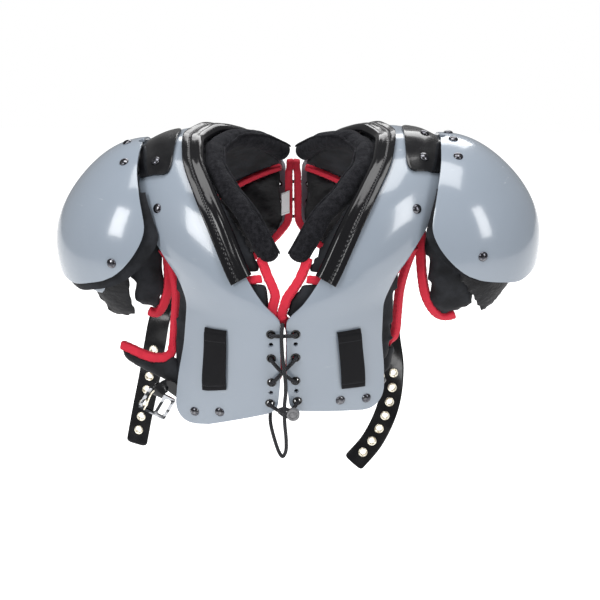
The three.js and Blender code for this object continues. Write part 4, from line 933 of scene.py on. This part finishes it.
def slant(arch, edge, v):
    """How much wider a tape along edge(v) is when it is measured along a row."""
    step = 0.06
    run = unit(arch.surface(edge(v + step), v + step) - arch.surface(edge(v - step), v - step))
    row = unit(arch.surface(edge(v) + step, v) - arch.surface(edge(v) - step, v))
    return 1 / np.linalg.norm(np.cross(run, row), axis=-1)


for side in SIDES:
    arch = side.arch

    def vee(v):
        return vee_inset(v) + vee_cross(np.clip(v, 2.5, 5)) * side.cross

    def along_neck(inset, v, out=TAPE_WIDE / 2):
        """The place across the plate that is out millimetres from the pads' centre edge."""
        wider = slant(arch, lambda w: arch.from_neck(w, -inset(w)), v)
        return arch.from_neck(v, out * wider - inset(v))

    def vee_frames(t):
        v = mix(VEE_FROM, VEE_TOP, t)
        return arch.frames(along_neck(vee, v), v)[:2]

    def vee_high(t):
        v = mix(VEE_FROM, VEE_TOP, t)
        return PAD_TOP - LACE_ROOM * smooth(3.2, 2.7, v) * smooth(0, 0.5, v)

    def seam_frames(t):
        v = COLLAR + 0.02 - 0.95 * t
        first = along_neck(vee, v, TAPE_WIDE + 3 * SIDE_GAP)
        last = arch.past_outer(v, armhole_reach(v) - 2 * SIDE_GAP)
        return arch.frames(mix(first, last, t), v)[:2]

    def back_frames(t):
        v = mix(BACK_PAD_TOP, BACK_PAD_END, t)
        return arch.frames(along_neck(back_inset, v, TAPE_WIDE / 2 - BACK_SHIFT), v)[:2]

    def back_high(t):
        v = mix(BACK_PAD_TOP, BACK_PAD_END, t)
        return PAD_TOP - LACE_ROOM * smooth(12.6, 12.9, v) * smooth(14.6, 14.3, v)

    def back_seam_frames(t):
        v = np.full(len(t), BACK_SEAM)
        first = along_neck(back_inset, v, TAPE_WIDE + 7 * SIDE_GAP)
        return arch.frames(mix(first, arch.past_outer(v, BACK_REACH), t), v)[:2]

    TAPES = {  # node: frames, width, how high its outer face is from the plate's, and rows
        "neck_edge_tape": (vee_frames, TAPE_WIDE + BROAD, vee_high, 260),
        "chest_seam_tape": (seam_frames, SEAM_TAPE + BROAD, lambda t: PAD_TOP + 0 * t, 130),
        "back_edge_tape": (back_frames, TAPE_WIDE, back_high, 170),
        "back_seam_tape": (back_seam_frames, SEAM_TAPE, lambda t: -TRIM_DEEP - LAYER_GAP + 0 * t,
                           130),
    }
    for node, (frames_at, wide, high, rows) in TAPES.items():
        piece(f"sewn_{node}_{side.name}",
              bar_along(frames_at, wide, lambda t: high(t) - TAPE_THICK, high, side, rows), tape,
              "tape", [f"{node}_{side.name}"])


# Under-arm wings
# The chest pads' foam runs on into a wing that closes under the arm. One red tape binds the
# armhole and runs on along the wing's upper edge. The left wing stands out sideways and the right
# one is folded back.
WING_LONG, WING_TALL, WING_THICK, WING_TUCK, PAD_EDGE, WING_TAPE_UP = 64, 36, 11, 5, 6, 3.15
WING_ROWS = [(0, 0, 0, 0.5), (0.25, 0.22, 0.05, 0.24), (0.5, 0.5, 0.12, 0.2),
             (0.75, 0.8, 0.24, 0.36), (1, 0.98, 0.32, 0.42)]  # place, out, back and upper edge
WING_ROOT = (0.68, 1.08, 1.5)
WING_FOLD = {"left": 0, "right": 75}
for side in SIDES:
    stuffed(f"soft_wing_{side.name}", f"under_arm_pad_{side.name}", foam, "foam", side, 0.8, 3.0,
            0.0, held=False, voxel=3.5, lap=5.0)
    arch, fold = side.arch, math.radians(WING_FOLD[side.name])

    def beside(v):
        """The wing's root at a station, behind the plate's outer edge."""
        reach = armhole_reach(max(v, 1.05)) + 3 * SIDE_GAP + 0.35 * WING_THICK * math.sin(fold)
        point, normal, _ = arch.frames(arch.past_outer(v, reach), v)
        tuck = WING_TUCK * smooth(WING_ROOT[2], WING_ROOT[0], v)
        return point + normal * (-PLATE_WALL - LAYER_GAP - PAD_EDGE / 2 - tuck)

    middle = beside(WING_ROOT[1])
    sewn_at = beside(WING_ROOT[2]) - middle - (0, 0, 0.5 * WING_TALL)
    wing_out, wing_back, wing_high = (curve([(row[0], row[k]) for row in WING_ROWS])
                                      for k in (1, 2, 3))
    v = np.linspace(ARM_FROM, ARM_TO, 12)
    wider = slant(arch, lambda w: arch.past_outer(w, armhole_reach(w)), v)
    u = arch.past_outer(v, armhole_reach(v) + SIDE_GAP + TAPE_WIDE / 2 * wider
                        + ARM_BULGE[side.name] * smooth(ARM_FROM, ARM_FROM - 0.8, v))
    points, normals, _ = arch.frames(u, v)
    points = list(points + normals * (PAD_TOP - TAPE_THICK / 2))
    normals = list(normals)
    for share in (0.12, 0.3, 0.5, 0.7, 0.88, 1.0):
        out, rear = float(wing_out(share)) * WING_LONG, float(wing_back(share)) * WING_LONG
        points.append(middle + sewn_at * max(0, 1 - 2 * share) ** 2 + np.array((
            out * math.cos(fold) - rear * math.sin(fold),
            out * math.sin(fold) + rear * math.cos(fold),
            float(wing_high(share)) * WING_TALL + 3 * SIDE_GAP + WING_TAPE_UP)))
        normals.append(np.array((math.sin(fold), -math.cos(fold), 0.1)))
    path, faces = through(points), through(normals)
    binding = bar_along(lambda t: (path(t), unit(faces(t))), TAPE_WIDE + BROAD, -TAPE_THICK / 2,
                        TAPE_THICK / 2, side, 260)
    piece(f"sewn_armhole_tape_{side.name}", binding, tape, "tape",
          [f"armhole_tape_{side.name}", f"under_arm_tape_{side.name}"])


# Shoulder caps
# A stiff dome of the plates' grey plastic covers each shoulder, over a foam liner and a smaller
# shell of the same plastic. Their cut edges are rounded and show as a thin bright line.
CAP_REACH, CAP_HALF_DEPTH, CAP_DROP, CAP_WALL = 98, 102, 107, 3
CAP_FLAT, CAP_FOAM, CAP_GAP = 0.05, 7, 2.1
INNER_CAP_WALL, CAP_PAD, STRAP_THICK = 2.5, 8, 2


class Cap:
    """A side's dome as if it were on +X: u is the compass angle in degrees, -90 in front, 0
    outwards and 90 behind, and v the angle down from the top."""

    def __init__(self, side, arch):
        edge = arch.surface(1.0, RIDGE)
        self.x, self.z = edge[0] - 2, edge[2] + 2.8 * LAYER_GAP + STRAP_THICK + CAP_WALL
        self.lift = math.radians(side.lift)

    def surface(self, u, v):
        turn, fall = np.radians(u), np.radians(v)
        flat = 1 - CAP_FLAT * np.maximum(np.cos(turn), 0) * np.sin(2 * fall) ** 2
        reach = np.where(v <= 90, np.sin(fall), (1 + np.sin(fall)) / 2)
        x = CAP_REACH * reach * np.cos(turn) * flat
        y = CAP_HALF_DEPTH * reach * np.sin(turn)
        z = CAP_DROP * (np.cos(fall) * flat - 1)
        cosine, sine = math.cos(self.lift), math.sin(self.lift)
        return np.stack([self.x + x * cosine - z * sine, y, self.z + z * cosine + x * sine], -1)

    def frames(self, u, v):
        step = 0.2
        low = np.maximum(v, 1)
        down = self.surface(u, v + step) - self.surface(u, v - step)
        around = self.surface(u + step, low) - self.surface(u - step, low)
        return self.surface(u, v), unit(np.cross(down, around))

    def over(self, x, y):
        """The angles of the dome's place x out from its hinge and y back."""
        a, b = x / CAP_REACH, y / CAP_HALF_DEPTH
        return np.degrees(np.arctan2(b, a)), np.degrees(np.arcsin(np.minimum(1, np.hypot(a, b))))


cap_rim = curve([(-104, 80), (-95, 85), (-80, 92), (-62, 98), (-40, 103), (-22, 102), (0, 95),
                 (22, 102), (40, 103), (62, 98), (80, 92), (95, 85), (104, 80)])
cap_chest_edge = curve([(0, 90), (25, 91), (50, 95), (72, 98), (92, 94), (110, 90)])
foam_start = curve([(-104, 44), (-90, 44), (-62, 39), (-40, 32), (0, 26), (60, 32), (90, 44),
                    (104, 44)])
INNER_RIMS = {
    "left": [(-90, 80), (-68, 98), (-58, 109), (-50, 109), (-42, 102), (0, 92), (60, 98),
             (90, 80)],
    "right": [(-90, 80), (-60, 98), (-46, 108), (-30, 114), (-10, 108), (0, 100), (60, 98),
              (90, 80)],
}
FOAM_TOP = CAP_WALL + CAP_GAP
INNER_TOP = FOAM_TOP + CAP_FOAM + CAP_GAP
CAP_PAD_TOP = INNER_TOP + INNER_CAP_WALL + CAP_GAP
ARM_PAD_TOP = CAP_PAD_TOP + CAP_PAD + LAYER_GAP


def cap_layer(cap, start, rim, reach, depth, corner=0):
    """A layer of the cap from its start angle down to its rim, depth inside the dome's face,
    with its two lower corners rounded to a radius."""
    def place(s, t):
        left = np.minimum((1 - t) * (rim(70.0) - start(70.0)) / 57 * CAP_REACH, corner)
        cut = corner - np.sqrt(corner ** 2 - (corner - left) ** 2)
        turn = reach(mix(start(0.0), 90, t)) - np.degrees(cut / CAP_REACH)
        u = mix(turn, -turn, s)
        point, normal = cap.frames(u, mix(start(u), rim(u), t))
        return point - normal * depth
    return place


DOME_CORNER = 40
DOME_LOWER = {"left": -1, "right": 3}  # degrees that its worn edge hangs lower
for side in SIDES:
    cap = side.cap = Cap(side, side.arch)
    lower = DOME_LOWER[side.name]
    dome = piece(f"dome_{side.name}",
                 laid(120, 110, cap_layer(cap, lambda u: 3 + 0 * u, lambda u: cap_rim(u) + lower,
                                          lambda v: cap_chest_edge(v) + lower, 0, DOME_CORNER),
                      side), plastic, "plate", [f"epaulet_{side.name}"])
    thicken(dome, CAP_WALL, 1.1, segments=3)
    inner = piece(f"inner_shell_{side.name}",
                  laid(80, 56, cap_layer(cap, lambda u: foam_start(u) - 2,
                                         curve(INNER_RIMS[side.name]), lambda v: 82 + 0 * v,
                                         INNER_TOP), side), plastic, "plate",
                  [f"deltoid_cap_{side.name}"])
    thicken(inner, INNER_CAP_WALL, 0.9)


# Shoulder cap linings
# Under the dome lies a charcoal foam liner, and under the inner shell a loose pad of black nylon,
# which crumples into lobes below the caps. A foam arm pad hangs in front, bound in red.
ARM_LOOPS = {  # from and to round the cap, then its top and hem, in degrees
    "left": (-108.8, -82, 70, 127),
    "right": (-110, -66, 70, 138),
}
LINER_LOW, LINER_OUT = 4.5, 8  # degrees that the liner stands out below and before the dome
for side in SIDES:
    cap = side.cap
    liner = laid(90, 60, cap_layer(cap, foam_start, lambda u: cap_rim(u) + LINER_LOW,
                                   lambda v: cap_chest_edge(v) + LINER_OUT, FOAM_TOP,
                                   DOME_CORNER + 4), side)
    made = piece(f"soft_liner_{side.name}", crumple(liner, 0.5, 16, side.sign), foam, "foam",
                 [f"epaulet_foam_{side.name}"])
    thicken(made, CAP_FOAM, 2.6, segments=4)
    middle = Vector((cap.x, 0, cap.z - CAP_DROP))
    stuffed(f"soft_deltoid_{side.name}", f"deltoid_pad_{side.name}", nylon, "nylon", side, 0.5,
            4.5, 0.09, voxel=4.0, lap=6.5, heart=middle)
    stuffed(f"soft_arm_pad_{side.name}", f"arm_pad_{side.name}", foam, "foam", side, 0.8, 3.0,
            0.0, held=False, voxel=4.0, lap=9.0, heart=middle)
    start, stop, top, hem = ARM_LOOPS[side.name]
    reach = math.degrees((TAPE_WIDE / 2 + 6 * SIDE_GAP) / (CAP_HALF_DEPTH - ARM_PAD_TOP))
    stops = [(start - reach, top), (start - reach, mix(top, hem, 0.45)),
             (start - reach * 0.8, mix(top, hem, 0.7)),
             (mix(start, stop, 0.1), mix(top, hem, 0.93) + reach),
             (mix(start, stop, 0.3), hem + reach * 1.1),
             (mix(start, stop, 0.55), hem - 3 + reach * 1.1)]
    round_u = curve([(k / 5, u) for k, (u, v) in enumerate(stops)])
    round_v = curve([(k / 5, v) for k, (u, v) in enumerate(stops)])
    loop = bar_along(lambda t: cap.frames(round_u(t), round_v(t)), TAPE_WIDE + BROAD,
                     -ARM_PAD_TOP - TAPE_THICK, -ARM_PAD_TOP, side, 190)
    piece(f"sewn_arm_tape_{side.name}", loop, tape, "tape", [f"arm_pad_tape_{side.name}"])


# Hinge straps
# A wide strap of glossy black vinyl hinges each dome to its plate. Its inner end is riveted on the
# plate with rounded corners, and its outer end is riveted under the dome.
STRAP_FRONT, STRAP_BACK, STRAP_ON_PLATE, STRAP_UNDER_CAP = 43, 26, 42, 26
STRAP_RIVETS = {"left": ((0.17, 0.16),), "right": ((0.17, 0.16), (0.2, 0.62))}
strap_vinyl = vinyl_finish("strap_vinyl", (0.004, 0.004, 0.005), (0.011, 0.011, 0.012), 0.2, 38,
                           coat=0.22)
for side in SIDES:
    arch, cap = side.arch, side.cap
    stations = np.linspace(7, 11.5, 41)
    station_of = curve(list(zip(arch.surface(1.0, stations)[:, 1], stations)))

    def strap_stops(t):
        """The strap's line at t from front to back: over the plate, across and under the dome."""
        y = mix(-STRAP_FRONT, STRAP_BACK, t)
        corner = max(0, abs(2 * t - 1) - 0.6) / 0.4
        clipped = 1 - 0.24 * (1 - math.sqrt(1 - min(1, corner) ** 2))
        v = float(station_of(y))
        on_plate = [arch.raised(arch.past_outer(v, -STRAP_ON_PLATE * share), v, LAYER_GAP)
                    for share in (clipped, 0.5, 0.08)]
        under = []
        for share in (0.18, 0.5, 1):
            point, normal = cap.frames(*cap.over(STRAP_UNDER_CAP * share, y))
            under.append(point - normal * (CAP_WALL + LAYER_GAP + STRAP_THICK))
        return on_plate + under

    def on_strap(s, t):
        points = np.empty((len(s), 3))
        for row in np.unique(t):
            points[t == row] = through(strap_stops(row))(s[t == row])
        return points

    strap_frames = framed(lambda s, t: on_strap(np.clip(np.atleast_1d(s), 0, 1),
                                                np.clip(np.atleast_1d(t), 0, 1)))
    side.strap_rivets = [(point + normal * STRAP_THICK, normal) for point, normal, _ in
                         (strap_frames(s, t) for s, t in STRAP_RIVETS[side.name])]
    strap = piece(f"vinyl_hinge_{side.name}", laid(44, 60, on_strap, side), strap_vinyl, "vinyl",
                  [f"hinge_strap_{side.name}"])
    thicken(strap, STRAP_THICK, 0.7, outwards=True)


# Belt keepers
# Two flat loops of ribbed black elastic are sewn to the chest at their ends. Each end is turned
# under and held by a row of stitches.
KEEPER_WIDE, KEEPER_TALL, KEEPER_THICK, SEAT = 25, 55, 2, 0.35
KEEPERS = {"left": (0.62, 1.7, 0.02), "right": (0.63, 1.55, -0.05)}  # u, station and lean
elastic = Finish("black_elastic", (0.01, 0.01, 0.011), 0.8, sheen_weight=0.03,
                 sheen_roughness=0.4, specular_ior_level=0.12)
across, along = elastic.lie()
cords = (across * 14).wave()
picks = (along * 11).wave()
ends = ((along - KEEPER_TALL / 20).maths("ABSOLUTE") - 2.3).maths("ABSOLUTE").rises(0.06, 0.03)
sewn = ends * (across * 4.5).wave().rises(0.2, 0.35)
woven = elastic.tint((0.002, 0.002, 0.003), (0.013, 0.013, 0.015), cords * 0.4 + picks * 0.5)
elastic.look(elastic.tint(woven, (0.03, 0.03, 0.034), sewn), picks * 0.15 + 0.7,
             elastic.relief(sewn, 0.0004, 0.8, elastic.relief(cords * 0.5 + picks, 0.0004, 0.7)))
for side in SIDES:
    arch = side.arch
    u, v, lean = KEEPERS[side.name]
    station = np.linalg.norm(arch.surface(u, v) - arch.surface(u, v + 1))

    def on_chest(s, t):
        up = v + (2 * t - 1) * KEEPER_TALL / 2 / station
        across = u + (s - 0.5) * KEEPER_WIDE / arch.width(v) + lean * (t - 0.5)
        bow = 1.7 * (1 - (2 * t - 1) ** 6)
        stitched = 0.5 * np.exp(-((np.abs(2 * t - 1) - 0.84) / 0.03) ** 2)
        return arch.raised(across, up, SEAT + 0.1 + bow - stitched)

    keeper = piece(f"elastic_keeper_{side.name}", laid(24, 70, on_chest, side), elastic, "elastic",
                   [f"belt_keeper_{side.name}"])
    thicken(keeper, KEEPER_THICK - 0.5, 0.6, outwards=True)


# Rear belts
# A belt of glossy black vinyl is riveted to each back plate and hangs free beside the body. It
# has a squared tip and a row of brass-plated eyelets for the buckle's prong.
BELT_WIDE, BELT_THICK, BELT_HOLE, BELT_PITCH, BELT_HOLES, BELT_FALL = 26, 2.4, 3.2, 17, 7, 190
BELT_FIRST = 18  # from the tip to the first hole
TIP_CORNER = 4.5
ON_BACK = ((0.62, 14.7), (0.8, 14.9), (0.95, 15.05))
HANGING = {  # out, back and down in shares of BELT_FALL, and the way the belt faces, in degrees
    "left": ((0.06, 0.03, -0.02, 120), (0.19, -0.03, 0.05, 60), (0.26, -0.15, 0.16, 22),
             (0.3, -0.19, 0.34, 12), (0.34, -0.22, 0.55, 12), (0.39, -0.27, 0.78, 14),
             (0.43, -0.32, 0.98, 16)),
    "right": ((0.04, 0.02, 0.02, 100), (0.06, -0.1, 0.16, 50), (0.06, -0.2, 0.3, 30),
              (0.07, -0.28, 0.46, 15), (0.04, -0.36, 0.66, 0), (-0.05, -0.42, 0.86, -12),
              (-0.17, -0.47, 1.0, -22)),
}
belt_vinyl = vinyl_finish("belt_vinyl", (0.004, 0.004, 0.005), (0.01, 0.01, 0.011), 0.2, 60)
brass = Finish("worn_brass", (0.66, 0.62, 0.52), 0.28, metallic=1.0)
tarnish = brass.noise(260, 4)
brass.look(brass.tint((0.95, 0.9, 0.76), (0.45, 0.38, 0.27), tarnish.rises(0.45, 0.7)),
           tarnish * 0.3 + 0.25, brass.relief(tarnish, 0.00008, 0.4))
grommet = turned(arc((4.2, 1.25), 1.3, -30, 190, 9) + [(2.8, 0)]
                 + arc((4.2, -1.25), 1.3, 170, 390, 9) + [(3.6, -1.0), (3.6, 1.0)], 28)
for side in SIDES:
    arch = side.arch
    stops = [arch.frames(u, v)[:2] for u, v in ON_BACK]
    stops = [(point + normal * (LAYER_GAP + BELT_THICK / 2), normal) for point, normal in stops]
    edge = arch.surface(1.0, 15.15)
    for out, rear, down, turn in HANGING[side.name]:
        turn = math.radians(turn)
        stops.append((edge + np.array((out, rear, -down)) * BELT_FALL,
                      np.array((math.sin(turn), -math.cos(turn), 0))))
    path, faces = (through(line) for line in zip(*stops))
    fine = np.linspace(0, 1, 1200)
    gone = np.concatenate([[0], np.cumsum(np.linalg.norm(np.diff(path(fine), axis=0), axis=1))])

    def belt_frames(t):
        """Points, normals and crosswise directions at shares t of the belt's length."""
        at = np.interp(t, gone / gone[-1], fine)
        points, normals = path(at), unit(faces(at))
        run = unit(path(at + 0.002) - path(at - 0.002))
        across = unit(np.cross(run, normals))
        return points, unit(np.cross(across, run)), across

    def on_belt(s, t):
        points, normals, across = belt_frames(t)
        left = (1 - t) * gone[-1]
        short = TIP_CORNER - np.clip(left, 0, TIP_CORNER)
        cupped = 0.5 * (2 * s - 1) ** 2
        half = BELT_WIDE / 2 - TIP_CORNER + np.sqrt(TIP_CORNER ** 2 - short ** 2)
        return (points + across * ((2 * s - 1) * half)[:, None]
                + normals * (BELT_THICK / 2 - cupped)[:, None])

    belt = piece(f"vinyl_belt_{side.name}", laid(10, 200, on_belt, side), belt_vinyl, "vinyl",
                 [f"rear_belt_{side.name}"])
    thicken(belt, BELT_THICK - 0.3, 0.6)
    marks = 1 - (BELT_FIRST + np.arange(BELT_HOLES) * BELT_PITCH) / gone[-1]
    points, normals, _ = belt_frames(marks)
    places = [facing(*hole) for hole in mirrored(side, (points, normals))]
    drill(belt, places, BELT_HOLE, DRILL_DEEP / 2)
    piece(f"belt_grommets_{side.name}", set_out(grommet, places), brass, "chrome")


# Buckles
# A chromed double frame hangs below each armhole, on a short vinyl strap that comes out from
# behind the plate and folds round the frame's middle bar. A thin brass wire is its prong.
BUCKLE_TALL, BUCKLE_BAR, BUCKLE_DEEP, STRAP_WINDOW, PRONG_WINDOW = 27, 3, 2.8, 14.5, 7
BUCKLE_STRAP_WIDE, BUCKLE_STRAP_THICK, PRONG = 13, 1.8, 1.7
BUCKLE_WIDE = 3 * BUCKLE_BAR + STRAP_WINDOW + PRONG_WINDOW
BUCKLE_STATION = 0.64  # where the strap passes the plate's edge
BUCKLES = {  # bar's middle, the ways along it and down from it, and the strap's lead to it, of
    # which the middle and the lead are measured from the plate's edge
    "left": ((19.8, 4.4, -0.6), (0.87, 0, 0.5), (0.5, 0, -0.87),
             ((7.8, 8.6, 6.5), (13.3, 3.8, 5.9))),
    "right": ((-4.5, 21.3, -11.5), (0.05, 0.1, 0.99), (-0.05, 0.99, -0.1),
              ((-2, 6.3, -9.5), (-0.5, 12.8, -11))),
}
chrome = Finish("chrome", (0.75, 0.76, 0.78), 0.1, metallic=1.0)
haze = chrome.noise(120, 4)
painted_reflection_streaks = chrome.noise(70, 2, chrome.place((1, 1, 2.2)))
# Streaks where the chrome's colour drops almost to black are painted dark reflections.
chrome.look(chrome.tint((0.4, 0.41, 0.43), (0.03, 0.032, 0.035), painted_reflection_streaks.rises(0.44, 0.54)),
            haze * 0.16 + 0.03, chrome.relief(chrome.noise(500, 2), 0.00005, 0.25))
for side in SIDES:
    arch = side.arch
    bar, out, down, lead = (np.array(value, float) for value in BUCKLES[side.name])
    edge = arch.surface(1.0, BUCKLE_STATION)
    bar, lead = bar + edge, lead + edge
    out = unit(out)
    front = unit(np.cross(unit(down), out))
    down = np.cross(out, front)

    # The frame is a grid of five cells by three without its two windows, thickened and rounded.
    shape = bmesh.new()
    bmesh.ops.create_grid(shape, x_segments=5, y_segments=3, size=0.5)
    across = [0, BUCKLE_BAR, BUCKLE_BAR + PRONG_WINDOW, 2 * BUCKLE_BAR + PRONG_WINDOW,
              BUCKLE_WIDE - BUCKLE_BAR, BUCKLE_WIDE]
    up = [0, BUCKLE_BAR, BUCKLE_TALL - BUCKLE_BAR, BUCKLE_TALL]
    for vert in shape.verts:
        column, row = round((vert.co.x + 0.5) * 5), round((vert.co.y + 0.5) * 3)
        vert.co = (across[column], up[row], 0)
    shape.faces.ensure_lookup_table()
    windows = [face for face in shape.faces
               if BUCKLE_BAR < face.calc_center_median().y < BUCKLE_TALL - BUCKLE_BAR
               and any(a < face.calc_center_median().x < b
                       for a, b in ((across[1], across[2]), (across[3], across[4])))]
    bmesh.ops.delete(shape, geom=windows, context="FACES_ONLY")
    walls = bmesh.ops.extrude_face_region(shape, geom=shape.faces[:])["geom"]
    bmesh.ops.translate(shape, vec=(0, 0, BUCKLE_DEEP),
                        verts=[item for item in walls if isinstance(item, bmesh.types.BMVert)])
    bmesh.ops.recalc_face_normals(shape, faces=shape.faces)

    # The upright edges of the frame and of each window are rounded, then all the rims.
    for columns, rows, radius in ((across[::5], up[::3], 2.6), (across[1:3], up[1:3], 2.8),
                                  (across[3:5], up[1:3], 1.4)):
        corners = [Vector((x, y)) for x in columns for y in rows]
        edges = [edge for edge in shape.edges
                 if abs(edge.verts[0].co.z - edge.verts[1].co.z) > 1
                 and any((edge.verts[0].co.xy - corner).length < 0.1 for corner in corners)]
        bmesh.ops.bevel(shape, geom=edges, offset=radius, offset_type="OFFSET", segments=5,
                        profile=0.5, affect="EDGES", material=-1)
    rims = [edge for edge in shape.edges
            if edge.is_manifold and edge.calc_face_angle() > math.radians(60)]
    bmesh.ops.bevel(shape, geom=rims, offset=1.0, offset_type="OFFSET", segments=4, profile=0.5,
                    affect="EDGES", material=-1, clamp_overlap=True)
    strap_middle = BUCKLE_WIDE - BUCKLE_BAR - STRAP_WINDOW / 2
    bmesh.ops.translate(shape, vec=(-strap_middle, -BUCKLE_TALL + BUCKLE_BAR / 2,
                                    -BUCKLE_DEEP / 2), verts=shape.verts)
    flip = np.array((side.sign, 1, 1))
    whole = np.eye(4)
    whole[:3, :3] = flip[:, None] * np.column_stack([out, -down, front]) * MM
    whole[:3, 3] = flip * bar * MM
    bmesh.ops.transform(shape, matrix=Matrix(whole), verts=shape.verts)
    bmesh.ops.recalc_face_normals(shape, faces=shape.faces)
    piece(f"buckle_frame_{side.name}", shape, chrome, "chrome", [f"buckle_{side.name}"])

    under = -PLATE_WALL - 0.6 * LAYER_GAP - BUCKLE_STRAP_THICK / 2
    rooted = [arch.frames(u, v)[:2] for u, v in ((0.72, 0.42), (0.88, 0.54), (1, BUCKLE_STATION))]
    stops = [(point + normal * under, normal) for point, normal in rooted]
    for i, place in enumerate(lead):
        stops.append((place, unit(mix(stops[2][1], front, (i + 1) / (len(lead) + 1)))))
    fold = BUCKLE_DEEP / 2 + 0.35 + BUCKLE_STRAP_THICK / 2 + SIDE_GAP
    stops.append((bar + front * fold - down * 3.5, front))
    for k in range(7):
        turn = k / 6 * math.pi
        facing_out = front * math.cos(turn) + down * math.sin(turn)
        stops.append((bar + facing_out * fold, facing_out))
    stops += [(bar - front * fold - down * share, -front) for share in (5, 9)]
    path, faces = (through(line) for line in zip(*stops))
    strap = bar_along(lambda t: (path(t), unit(faces(t))), BUCKLE_STRAP_WIDE,
                      -BUCKLE_STRAP_THICK / 2, BUCKLE_STRAP_THICK / 2, side, 150, square=0.25)
    piece(f"vinyl_buckle_strap_{side.name}", strap, strap_vinyl, "vinyl",
          [f"buckle_strap_{side.name}"])
    half = BUCKLE_WIDE / 2
    prong = [bar + front * (fold + 1.6) + out * x + down * y + front * z for x, y, z in (
        (4.4, -3.0, 0.1), (5.6, 1.0, 0.4), (5.4, 6.0, 0.5), (4.6, 12, 0.4), (4.0, 18, 0.0),
        (3.6, 23.5, -0.6))]
    wire, _ = rope([point * flip for point in prong], PRONG, around=10, step=0.9)
    piece(f"buckle_prong_{side.name}", wire, brass, "chrome")


# Rivets
# Low domes of black nickel hold the straps, the domes and what is fixed behind the plates. They
# are as big as a fingernail and polished, so each has its own highlight.
RIVET_RADIUS, RIVET_HIGH, RIVET_SEAT = 4.8, 2.4, 0.15
black_nickel = Finish("black_nickel", (0.09, 0.09, 0.1), 0.2, metallic=1.0)
rubbed = black_nickel.noise(300, 3)
black_nickel.look(
    black_nickel.tint((0.06, 0.06, 0.07), (0.22, 0.22, 0.23), rubbed.rises(0.4, 0.8)),
    rubbed * 0.2 + 0.12, black_nickel.relief(black_nickel.noise(600, 2), 0.00004, 0.3))
head = turned([(0, RIVET_HIGH), (1.6, 2.3), (3.0, 1.9), (3.9, 1.35), (4.5, 0.8), (4.8, 0.35),
               (RIVET_RADIUS, 0), (0, 0)], 28, closed=False)
DOME_RIVETS = {  # out from the dome's hinge and back from the shoulder line
    "left": ((14, -40), (17, 0)), "right": ((14, -40), (12, -10), (9, 15))}
LOW_RIVETS = {"left": (-76.5, 84), "right": (-72, 84)}  # the dome's lower front one, in degrees
PLATE_RIVETS = {  # u and station of those on a plate
    "left": ((0.8, 0.3), (0.55, 0.28), (0.77, 6.3)),
    "right": ((0.8, 0.3), (0.52, 0.3), (0.76, 6.2))}
for side in SIDES:
    arch, cap = side.arch, side.cap
    frames = [arch.frames(u, v)[:2] for u, v in PLATE_RIVETS[side.name]]
    frames += [cap.frames(*cap.over(x, y)) for x, y in DOME_RIVETS[side.name]]
    frames.append(cap.frames(*LOW_RIVETS[side.name]))
    frames += side.strap_rivets
    heads = [facing(point + normal * RIVET_SEAT, normal)
             for frame_pair in frames for point, normal in mirrored(side, frame_pair)]
    piece(f"rivet_heads_{side.name}", set_out(head, heads), black_nickel, "rivet",
          [f"{part}_rivet_{side.name}" for part in ("strap", "epaulet", "hem")])


# Label
# A small blank tab of white woven satin is sewn on the left centre binding of the back.
LABEL_WIDE, LABEL_TALL, LABEL_THICK, LABEL_FROM = 11, 26, 0.8, 13.45
satin = Finish("white_satin", (0.8, 0.8, 0.82), 0.5, sheen_weight=0.3)
across, along = satin.lie()
threads = (across * 32).wave() * 0.4 + (along * 24).wave() * 0.6
border = ((along - LABEL_TALL / 20).maths("ABSOLUTE") - 1.18).maths("ABSOLUTE").rises(0.05, 0.02)
stitched = border * (across * 5).wave().rises(0.3, 0.5)
satin.look(satin.tint(satin.tint((0.72, 0.72, 0.74), (0.86, 0.86, 0.88), threads),
                      (0.4, 0.4, 0.42), stitched),
           threads * 0.2 + 0.4, satin.relief(threads, 0.0001, 0.5))
side, arch = SIDES[0], SIDES[0].arch
station = np.linalg.norm(arch.surface(0.0, LABEL_FROM) - arch.surface(0.0, LABEL_FROM + 1))
label_depth = PAD_TOP - LACE_ROOM - TAPE_THICK - 2 * SEAT


def on_tape(s, t):
    v = LABEL_FROM + t * LABEL_TALL / station
    bow = 0.5 * np.sin(math.pi * t) * np.cos(3 * s)
    return arch.raised(arch.from_neck(v, LABEL_WIDE * (s - 0.14) - back_inset(v)), v,
                       label_depth - bow)


label = piece("woven_label", laid(12, 24, on_tape, side), satin, "label", ["label_left"])
thicken(label, LABEL_THICK, 0.2)
